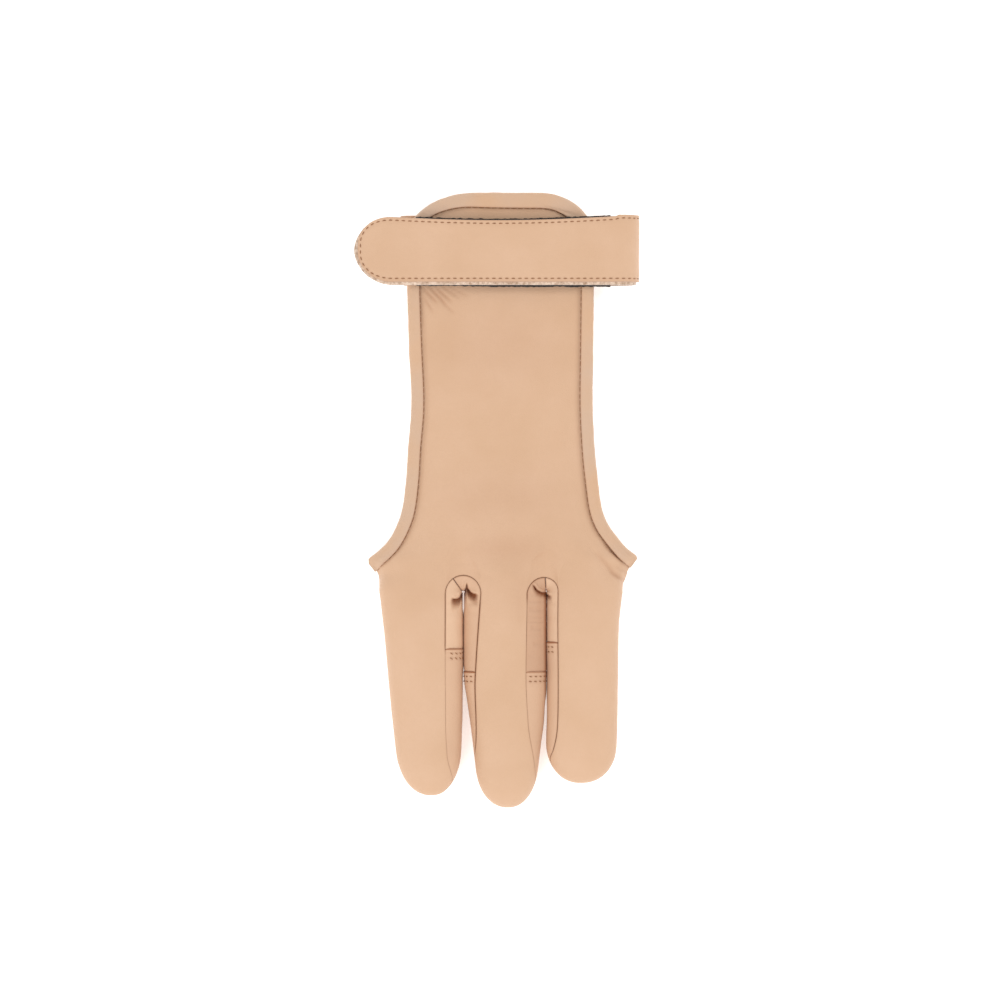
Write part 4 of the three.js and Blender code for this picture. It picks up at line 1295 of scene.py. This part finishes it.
class GLOVE_OT_fingertips(bpy.types.Operator):
    """Reinforced fingertips with their double rows of stitches"""

    bl_idname = "glove.fingertips"
    bl_label = "Fingertips"

    def execute(self, context):
        for finger in FINGERS:
            fingertip(context, finger)
        return {"FINISHED"}


# Where the strips' own seams lie in the crotches, in degrees of their turn
RING_SEAM_TURN = -35.0
INDEX_SEAM_TURN = -4.0

# The strips have closer rows in this length from the crotch in mm, and are this dark in a slit
GUSSET_FINE = 11.0
GUSSET_SLIT_SHADE = 0.65


def gusset(context, node, finger, side, crotch, seam_turn, strip_painted_shade, puckers):
    """Side strip of a finger up to the crotch and round it as far as the strips' own seam."""
    sewing = context.scene.glove_sewing
    leather = Skin()
    shares = shares_for(20.0, 0.42)
    spans = gusset_span(crotch.left, 1, np.array(0.0)), gusset_span(crotch.right, -1, np.array(0.0))
    rest = finger.bare_front - SEWN_GAP / 2 - GUSSET_FINE
    bare = np.concatenate([
        np.linspace(0, GUSSET_FINE, 30)[:-1], GUSSET_FINE + rest * shares_for(rest * 1.4)[:-1],
        [GUSSET_FINE + rest],
    ])[::-1] / finger.length
    grids = []
    for inset in (0.0, FINGER_LEATHER):
        start, end = gusset_span(finger, side, bare)
        angle = mix(start[:, None], end[:, None], shares[None, :])
        straight = skin(finger, angle, bare[:, None], inset)
        turns = np.linspace(-90 * side, seam_turn, 48)[1:]
        turned, down = np.broadcast_arrays(turns[:, None], shares[None, :])
        round_part = saddle(crotch, turned, down, *spans, inset)
        back = -side * SEWN_GAP / 2
        round_part[-1, :, 0] += back * math.cos(math.radians(seam_turn))
        round_part[-1, :, 1] -= back * math.sin(math.radians(seam_turn))
        grids.append(np.concatenate([straight, round_part]))
    leather.add(*grids)
    piece = leather.build(node + "_leather", leather_set(context, "strip"))
    places, _ = outer_state(piece)
    # Painted shade of the strip: under the flaps, in the slits, and evenly over the whole strip
    _, lift, shadow = under_flaps(places)
    wall, swelling = slit_wall(places)
    shadow += GUSSET_SLIT_SHADE * wall ** 2 + strip_painted_shade

    def pucker(places, distance):
        """Short folds square to the seam where the strip is gathered into the crotch."""
        height = np.zeros(len(places))
        for row, left, right, width, depth in puckers:
            y = photo_place(0, row)[1]
            column = to_photo(places)[0]
            fade = ramp(distance, 1.6) * smooth((column - left) / 3) * smooth((right - column) / 3)
            height -= depth * bell(places[:, 1] - y, width) * fade * (1 - wall)
        height = (height + lift * ramp(distance, 0.8)) * sewing.creases
        return height + swelling * ramp(distance, 0.5)

    finish_leather(
        piece, leather.rim, sewing, noise_seed=6, extra=pucker, dark=lambda _: shadow,
        drop=lambda points: under_flaps(points)[0],
    )
    return dress(piece, "gusset_leather", node)


# Each strip with how much painted shade darkens the whole of it, and its folds: the photograph's row, the
# columns that each runs between, width and depth in mm
GUSSETS = (
    ("ring_gusset", RING, 1, RING_CROTCH, RING_SEAM_TURN, 0.0,
     ((602, 444, 462, 0.7, 0.25), (612, 444, 464, 1.2, 0.2), (626, 446, 466, 1.4, 0.15))),
    ("middle_gusset_ring_side", MIDDLE, -1, RING_CROTCH, RING_SEAM_TURN, 0.16,
     ((603, 466, 484, 0.8, 0.25), (612, 464, 482, 1.2, 0.15), (640, 464, 480, 1.5, 0.15))),
    ("middle_gusset_index_side", MIDDLE, 1, INDEX_CROTCH, INDEX_SEAM_TURN, 0.3,
     ((594, 526, 540, 0.5, 0.22), (601, 525, 548, 0.6, 0.35), (609, 528, 550, 0.9, 0.4),
      (617, 525, 546, 0.5, 0.25), (621.5, 525, 548, 0.45, 0.3), (628, 530, 550, 0.8, 0.4),
      (635, 524, 545, 0.5, 0.22), (643, 532, 550, 0.9, 0.35), (655, 526, 548, 1.2, 0.2))),
    ("index_gusset", INDEX, -1, INDEX_CROTCH, INDEX_SEAM_TURN, 0.0,
     ((603, 546, 562, 0.8, 0.2), (618, 546, 560, 1.2, 0.15))),
)


class GLOVE_OT_gussets(bpy.types.Operator):
    """Side strips between the fingers"""

    bl_idname = "glove.gussets"
    bl_label = "Gussets"

    def execute(self, context):
        for row in GUSSETS:
            gusset(context, *row)
        return {"FINISHED"}


def back_faces(plan):
    top = back_height(plan[..., 0], plan[..., 1])
    return top, top - BACK_LEATHER


def palm_faces(plan):
    bottom = np.full(plan.shape[:-1], PALM_LIFT)
    return bottom + FINGER_LEATHER, bottom


def wrist_faces(plan):
    left, right = panel_edges(plan[..., 1])
    share = np.clip((plan[..., 0] - left) / (right - left), 0, 1)
    top = panel_height(plan[..., 1], 2 * share - 1)
    return top, top - BACK_LEATHER


def resample(path, step):
    """A path with its points a step apart."""
    run = run_along(path)
    at = np.linspace(0, run[-1], max(2, round(run[-1] / step)))
    return between(at, run, path)


# How far above and below the panel a binding's sides lie, and how far in from its edge, in millimetres
FOLD_CLEARANCE = SEAM_GAP * 0.6
FOLD_OFFSET = 0.3


def binding(context, node, edge, air_side, faces, lap, leather_thickness, seed, flare=0.0, corner=0.0,
            flare_length=3.5):
    """A folded binding over a leather edge, with the thread in the ditch of its seam.

    Its first end may flare by a share of the lap, and have its outer corner rounded by a size in mm.
    """
    sewing = context.scene.glove_sewing
    plan = resample(edge[:, :2], STEP)
    run = run_along(plan)
    along = np.gradient(plan, axis=0)
    along /= np.linalg.norm(along, axis=1)[:, None]
    out = np.stack([-along[:, 1], along[:, 0]], -1) * air_side
    wider = (1 + flare * bell(run, flare_length))[:, None]
    tuck = corner * (1 - np.sqrt(1 - (1 - np.clip(run / max(corner, 0.1), 0, 1)) ** 2))[:, None]
    _, edge_bottom = faces(plan)
    edge_top = edge_bottom + BACK_LEATHER
    # A free end is pinched flat, because no panel lies between its two sides
    pinch = smooth(run / 2.4) if corner else np.ones(len(plan))
    lap_steps = shares_for(lap, 0.5) * -lap
    turns = np.linspace(90, -90, 17)
    grids = []
    for thickness in (leather_thickness, 0.0):
        clear = FOLD_CLEARANCE + thickness
        middle = (edge_top + edge_bottom) / 2
        pinched = 0.04 + thickness
        rows = []
        for distance in lap_steps[::-1]:
            place = plan + out * min(distance, -0.001)
            top, _ = faces(place)
            level = mix(middle + pinched, top + clear, pinch)
            rows.append(np.column_stack([plan + out * (distance * wider - FOLD_OFFSET), level]))
        reach = SEAM_GAP + FOLD_OFFSET + thickness - tuck
        half = mix(pinched, (edge_top - edge_bottom) / 2 + clear, pinch)
        for turn in turns[1:-1]:
            c, s = math.cos(math.radians(turn)), math.sin(math.radians(turn))
            rows.append(np.column_stack([plan + out * (reach * c - FOLD_OFFSET), middle + half * s]))
        for distance in lap_steps:
            place = plan + out * min(distance, -0.001)
            _, bottom = faces(place)
            level = mix(middle - pinched, bottom - clear, pinch)
            rows.append(np.column_stack([plan + out * (distance * wider - FOLD_OFFSET), level]))
        grids.append(np.stack(rows, 1))
    leather = Skin()
    index = leather.add(*grids)
    piece = leather.build(node + "_fold", leather_set(context, "binding"))
    sewn = np.concatenate([index[:, 0], index[:, -1]])

    def worn(places, distance):
        """Small waves where the leather is drawn round the edge, and the hem's corner folds."""
        height = 0.1 * waves(places, 2.6, seed) * ramp(distance, 1.2)
        return height + creases(places, HEM_CREASES)

    finish_leather(piece, sewn, sewing, noise_seed=seed, extra=worn)
    dress(piece, "binding_leather", node)
    # Thread lies in the ditch, a little in from the fold's sewn edge, above and below
    clear = FOLD_CLEARANCE + leather_thickness
    ditch = plan - out * (lap * wider + FOLD_OFFSET + 0.02)
    up = np.tile([0.0, 0.0, 1.0], (len(plan), 1))
    top, bottom = faces(plan - out * lap)
    for label, level, normal in (("", top + clear * 0.32, up), ("_below", bottom - clear * 0.32, -up)):
        sew(
            node + "_stitches" + label, np.column_stack([ditch, level]), normal, materials(context)["thread"],
            sewing.pitch / MM, sewing.stitch / MM * 1.3, sewing.thread / MM / 2,
        )
    return piece


def side_edge(side, start, past):
    """The panel's long edge up to the strap, and straight on past the wing's corner by a size in mm."""
    group = BACK_GROUPS[0] if side < 0 else BACK_GROUPS[-1]
    y = mix(CROTCH_Y, CORNER_Y, np.linspace(start, BINDING_END, 240))
    line = back_point(group, 0.0 if side < 0 else 1.0, y)[:, :2]
    ahead = line[0] - line[3]
    ahead /= np.linalg.norm(ahead)
    return np.concatenate([line[0] + ahead * np.linspace(past, 0, 9)[:-1, None], line])


def wrist_edge():
    """The panel's wrist end from under the strap round both corners."""
    start = mix(CROTCH_Y, CORNER_Y, BINDING_END) + SEAM_GAP
    rows = np.concatenate([[start], CORNER_Y + CORNER_LENGTH * np.sin(np.radians(np.linspace(0, 88, 30)))])
    left = back_point(BACK_GROUPS[0], 0.0, rows)[:, :2]
    right = back_point(BACK_GROUPS[-1], 1.0, rows)[::-1, :2]
    return np.concatenate([left, right])


def palm_edge():
    """The palm band's free edge, clear of the side seams."""
    runs = []
    for i, group in enumerate(PALM_GROUPS):
        first = 3 / 8 if i == 0 else 0.0
        last = 5 / 8 if i == len(PALM_GROUPS) - 1 else 1.0
        runs.append(palm_point(group, np.linspace(first, last, 30)[: None if last < 1 else -1], 0.0))
    return np.concatenate(runs)


class GLOVE_OT_bindings(bpy.types.Operator):
    """Folded bindings on the panel's edges, at the wrist and on the palm band"""

    bl_idname = "glove.bindings"
    bl_label = "Bindings"

    def execute(self, context):
        for node, edge, air_side, faces, lap, thickness, seed, ends in (
            ("side_binding_left", side_edge(-1, 0.106, 4.6), 1, back_faces, SIDE_LAP, BINDING_LEATHER, 8,
             {"flare": 0.25, "corner": 1.6}),
            ("side_binding_right", side_edge(1, 0.108, 3.1), -1, back_faces, SIDE_LAP, BINDING_LEATHER, 9,
             {"flare": 0.1, "corner": 0.7}),
            ("wrist_hem", wrist_edge(), 1, wrist_faces, WRIST_LAP, BINDING_LEATHER, 10,
             {"flare": -0.6, "flare_length": 28.0}),
            ("palm_hem", palm_edge(), 1, palm_faces, PALM_LAP, PALM_BINDING_LEATHER, 11, {}),
        ):
            binding(context, node, edge, air_side, faces, lap, thickness, seed, **ends)
        return {"FINISHED"}


def strap_line():
    """Stations of the strap from its sewn end round both folds to the tip: x, z, turn, over, tip."""
    left, right = SEWN_TOP / 2, STRAP_TOP / 2
    stations = []

    def fold(x, radius, start, end, count):
        for turn in np.radians(np.linspace(start, end, count)):
            stations.append((x + radius * math.cos(turn), radius + radius * math.sin(turn), turn, 0.0, 1.0))

    up = math.radians(90)
    for x in np.linspace(STRAP_SEWN_LENGTH, 0, 6)[:-1]:
        stations.append((SEWN_FOLD_X + left + x, SEWN_TOP, up, 0.0, 1.0))
    fold(SEWN_FOLD_X + left, left, 90, 270, 16)
    bottom = STRAP_FOLD_X - right - SEWN_FOLD_X - left
    for x in np.linspace(0, bottom, round(bottom / 1.6))[1:-1]:
        stations.append((SEWN_FOLD_X + left + x, 0.0, -up, 0.0, 1.0))
    fold(STRAP_FOLD_X - right, right, -90, 90, 28)
    fall_x = STRAP_TIP_X + STRAP_TIP_FALL
    run = STRAP_FOLD_X - right - fall_x
    for x in np.linspace(run, 0, round(run / 1.4))[1:]:
        stations.append((fall_x + x, STRAP_TOP, up, 1.0, 1.0))
    body_x = STRAP_TIP_X + STRAP_TIP_LENGTH
    for x, tip in (
        [(x, 1.0) for x in np.linspace(fall_x, body_x, 9)[1:]]
        + [
            (body_x - STRAP_TIP_LENGTH * math.sin(a), math.cos(a))
            for a in np.radians(np.concatenate([np.linspace(5, 85, 20), [88, 90]]))
        ]
    ):
        t = (fall_x - x) / STRAP_TIP_FALL
        slope = 2 * STRAP_TIP_DROOP * t / STRAP_TIP_FALL
        stations.append((x, STRAP_TOP - STRAP_TIP_DROOP * t * t, up + math.atan(slope), 1.0, tip))
    return np.array(stations)


def strap_dip(x):
    """How far the strap's finger-side edge dips towards the wrist."""
    return STRAP_EDGE_DIP * np.sin(np.pi * ramp(x - STRAP_TIP_X, STRAP_FOLD_X - STRAP_TIP_X))


def strap_surface(across, depth, reveal=0.0, edge_in=0.0, tip_in=0.0):
    """A grid on the strap: across runs from its finger-side edge (0) to its wrist-side edge (1)."""
    x, z, turn, over, tip = (strap_line()[:, k][:, None] for k in range(5))
    top = STRAP_WIDTH / 2 - over * strap_dip(x) - edge_in
    bottom = -STRAP_WIDTH / 2 - reveal + edge_in
    centre = (top + bottom) / 2
    return np.stack(np.broadcast_arrays(
        x - depth * np.cos(turn) - (1 - tip) * (reveal - edge_in - tip_in),
        STRAP_Y + centre + (mix(bottom, top, across[None, :]) - centre) * tip,
        z - depth * np.sin(turn),
    ), -1)


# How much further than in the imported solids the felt's raw edge spreads, in millimetres
FELT_SPREAD = 0.35

# How uneven the felt's cut edge is, and how much thinner, in millimetres
FELT_RAGGED = 0.18
FELT_THINNED = 0.12

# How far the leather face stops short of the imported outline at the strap's tip, in millimetres
TIP_INSET = 1.05

# How far in from the strap's edge its stitches run, in millimetres
STITCH_INSET = 1.25

# Depth of the channel in which the strap's stitches lie, and the swelling beside it, in millimetres
CHANNEL_DEPTH = 0.24
CHANNEL_SWELL = 0.07


def strap_layer(context, name, depth, thickness, reveal, mats, tip_in=0.0):
    shares = shares_for(STRAP_WIDTH)
    grids = [strap_surface(shares, d, reveal, tip_in=tip_in) for d in (depth, depth + thickness)]
    leather = Skin()
    leather.add(*grids, pole=True)
    piece = leather.build(name, mats)
    return piece, leather


# Creases of the strap, as those of the panel
STRAP_CREASES = (
    ((428, 230), (452, 246), 1.2, 0.12),
    ((436, 228), (458, 240), 1.0, 0.1),
    ((590, 224), (594, 276), 3.0, 0.16),
    ((500, 262), (552, 258), 2.5, 0.1),
    ((384, 236), (396, 262), 2.0, 0.1),
    ((618, 222), (620, 278), 2.5, 0.14),
)


class GLOVE_OT_strap(bpy.types.Operator):
    """Wrist strap: leather face, felt backing and the stitches round its edge"""

    bl_idname = "glove.strap"
    bl_label = "Strap"

    def execute(self, context):
        sewing = context.scene.glove_sewing
        m = materials(context)
        face, skin_face = strap_layer(
            context, "strap_leather_face", 0.0, STRAP_LEATHER, 0.0, leather_set(context), TIP_INSET,
        )
        line = strap_surface(np.array([0.0, 1.0]), 0.0, edge_in=STITCH_INSET, tip_in=TIP_INSET)
        rows = np.concatenate([line[:, 0], line[::-1, 1]])
        edge = resample(rows, 0.8)

        def channel(places, distance):
            """The stitches' channel with the leather swelling beside it, and a few creases from use."""
            near, _ = distance_to(places, edge)
            height = CHANNEL_SWELL * bell(near - 1.6, 1.2) - CHANNEL_DEPTH * bell(near, 0.5)
            on_top = places[:, 2] > STRAP_TOP - STRAP_TIP_DROOP - 1
            return height + creases(places, STRAP_CREASES) * on_top

        finish_leather(face, skin_face.rim, sewing, noise_seed=12, shade=0.25, extra=channel)
        dress(face, "strap_leather", "strap_face")
        back, skin_back = strap_layer(
            context, "strap_felt_backing", STRAP_LEATHER + SEWN_GAP, SEAM_GAP - SEWN_GAP + STRAP_BACKING,
            BACKING_REVEAL + FELT_SPREAD, [m["felt"]] * 3, FELT_SPREAD,
        )
        places, _ = outer_state(back)
        near, _ = distance_to(places, places[skin_back.rim])
        ragged = np.clip(1 - near / 1.0, 0, 1)
        raise_outer(back, (FELT_RAGGED * waves(places, 1.1, 14) - FELT_THINNED) * ragged)
        dress(back, "strap_felt", "strap_backing")
        # Stitches follow the edge from the sewn end round the tip and back
        turn = strap_line()[:, 2]
        out = np.stack([np.cos(turn), 0 * turn, np.sin(turn)], -1)
        normals_full = np.concatenate([out, out[::-1]])
        run = run_along(rows)
        at = np.linspace(0, run[-1], len(edge))
        normals = between(at, run, normals_full)
        surface, _ = outer_state(face)
        _, nearest = distance_to(edge, surface)
        above = np.sum((surface[nearest] - edge) * normals, axis=1)
        sew(
            "strap_stitches", edge + normals * (above + 0.1)[:, None], normals, m["thread"],
            sewing.pitch / MM, sewing.stitch / MM * 0.85, sewing.thread / MM / 2,
        )
        return {"FINISHED"}


# How uneven the hook tape's cut edges are, in millimetres
TAPE_RAGGED = 0.3


def tape_strip(name, material, x_range, y_low, y_high, z, node, slot):
    """A strip of tape whose long edges follow given lines."""
    x = np.linspace(x_range[0], x_range[1], 180)
    shares = shares_for(20.0, 1.2)
    low, high = y_low(x), y_high(x)
    grids = []
    for level in (z + TAPE, z):
        y = mix(low[:, None], high[:, None], shares[None, :])
        grids.append(np.stack(np.broadcast_arrays(x[:, None], y, level), -1))
    strip = Skin()
    strip.add(*grids)
    piece = strip.build(name, [material] * 3)
    return dress(piece, slot, node)


class GLOVE_OT_tapes(bpy.types.Operator):
    """Hook tape under the strap's free end and loop tape on the panel"""

    bl_idname = "glove.tapes"
    bl_label = "Hook and loop tapes"

    def execute(self, context):
        m = materials(context)
        start = STRAP_TIP_X + HOOK_FROM_TIP

        def ragged(x, seed):
            """The loose ends of the tape's cut edge."""
            return TAPE_RAGGED * waves(np.column_stack([x, 0 * x, 0 * x]), 1.3, seed)

        def strap_top(x):
            return STRAP_Y + STRAP_WIDTH / 2 - strap_dip(x) + HOOK_REVEAL + 0.2 + ragged(x, 21)

        def strap_bottom(x):
            edge = STRAP_Y - STRAP_WIDTH / 2 - BACKING_REVEAL - FELT_SPREAD - HOOK_REVEAL
            return edge - 0.3 + ragged(x, 22) + 0.45 * smooth((PANEL_CENTRE - x) / 18)

        tape_strip(
            "hook_tape_strip", m["hooks"], (start, start + HOOK_LENGTH), strap_bottom, strap_top,
            STRAP_TOP - STRAP_STACK - SEAM_GAP - TAPE, "hook_tape", "hook_tape",
        )
        y = WRIST_Y - LOOP_FROM_WRIST_EDGE - LOOP_WIDTH / 2
        tape_strip(
            "loop_tape_strip", m["loops"], (PANEL_CENTRE - LOOP_LENGTH / 2, PANEL_CENTRE + LOOP_LENGTH / 2),
            lambda x: np.full_like(x, y - LOOP_WIDTH / 2), lambda x: np.full_like(x, y + LOOP_WIDTH / 2),
            PANEL_HEIGHT + SEAM_GAP, "loop_tape", "loop_tape",
        )
        return {"FINISHED"}


CAMERA_HEIGHT = 2.4
SENSOR = 36.0
MID_HEIGHT = 10.0
FLOOR_HALF = 1.6
FLOOR_GLOW = 0.45
SKY_STRENGTH = 0.88


class GLOVE_OT_stage(bpy.types.Operator):
    """Pale floor, soft studio light and the camera straight above"""

    bl_idname = "glove.stage"
    bl_label = "Stage"

    def execute(self, context):
        scene = context.scene
        mesh = bpy.data.meshes.new("floor")
        corners = [(x * FLOOR_HALF, y * FLOOR_HALF, 0) for x, y in ((-1, -1), (1, -1), (1, 1), (-1, 1))]
        mesh.from_pydata(corners, [], [(0, 1, 2, 3)])
        material, tree, shader = new_material("matt_paper_floor", 0.9, IOR=1.4)
        paper = add_node(tree, "ShaderNodeTexNoise", {"Scale": 40.0})
        tones = two_tones(tree, paper.outputs["Fac"], scene.glove_colours.floor, "#fbfbfb")
        tree.links.new(tones, shader.inputs["Base Color"])
        # The table glows a little from below, so that narrow gaps show it pale
        shader.inputs["Emission Color"].default_value = (1.0, 1.0, 1.0, 1.0)
        shader.inputs["Emission Strength"].default_value = FLOOR_GLOW
        mesh.materials.append(material)
        place_object("floor", mesh)

        world = bpy.data.worlds.new("studio")
        world.use_nodes = True
        world.node_tree.nodes["Background"].inputs["Color"].default_value = (1.0, 1.0, 1.0, 1.0)
        world.node_tree.nodes["Background"].inputs["Strength"].default_value = SKY_STRENGTH
        scene.world = world

        for name, place, side, power in (
            ("key", (-0.7, -0.9, 1.3), 0.8, 9.0),
            ("fill", (1.1, 0.4, 1.2), 1.0, 5.0),
        ):
            lamp = bpy.data.lights.new(name, "AREA")
            lamp.shape = "DISK"
            lamp.size = side
            lamp.energy = power
            holder = place_object(name, lamp)
            holder.location = place
            holder.rotation_euler = (-Vector(place)).to_track_quat("-Z", "Y").to_euler()

        data = bpy.data.cameras.new("camera")
        data.sensor_width = SENSOR
        distance = CAMERA_HEIGHT - MID_HEIGHT * MM
        data.lens = SENSOR * distance / (PHOTO_PIXELS * PHOTO_SCALE * MM)
        data.clip_end = 10
        camera = place_object("camera", data)
        x, y = photo_place(PHOTO_PIXELS / 2, PHOTO_PIXELS / 2)
        camera.location = ((x + SHIFT[0]) * MM, (y + SHIFT[1]) * MM, CAMERA_HEIGHT)
        scene.camera = camera
        scene.view_settings.view_transform = "Standard"
        return {"FINISHED"}


OPERATORS = (
    GLOVE_OT_back_panel,
    GLOVE_OT_palm_leather,
    GLOVE_OT_fingertips,
    GLOVE_OT_gussets,
    GLOVE_OT_bindings,
    GLOVE_OT_strap,
    GLOVE_OT_tapes,
    GLOVE_OT_stage,
)


class GLOVE_PT_panel(bpy.types.Panel):
    """The glove's pieces, sizes and colours"""

    bl_idname = "GLOVE_PT_panel"
    bl_label = "Shooting glove"
    bl_space_type = "VIEW_3D"
    bl_region_type = "UI"
    bl_category = "Glove"

    def draw(self, context):
        column = self.layout.column()
        for operator in OPERATORS:
            column.operator(operator.bl_idname)
        for group in (context.scene.glove_sewing, context.scene.glove_colours):
            box = column.box()
            for name in group.__annotations__:
                box.prop(group, name)


CLASSES = (GloveSewing, GloveColours, *OPERATORS, GLOVE_PT_panel)


def register():
    for cls in CLASSES:
        bpy.utils.register_class(cls)
    bpy.types.Scene.glove_sewing = bpy.props.PointerProperty(type=GloveSewing)
    bpy.types.Scene.glove_colours = bpy.props.PointerProperty(type=GloveColours)


def unregister():
    del bpy.types.Scene.glove_colours
    del bpy.types.Scene.glove_sewing
    for cls in reversed(CLASSES):
        bpy.utils.unregister_class(cls)


def main():
    register()
    bpy.ops.glove.back_panel()
    bpy.ops.glove.palm_leather()
    bpy.ops.glove.fingertips()
    bpy.ops.glove.gussets()
    bpy.ops.glove.bindings()
    bpy.ops.glove.strap()
    bpy.ops.glove.tapes()
    bpy.ops.glove.stage()


if __name__ == "__main__":
    main()
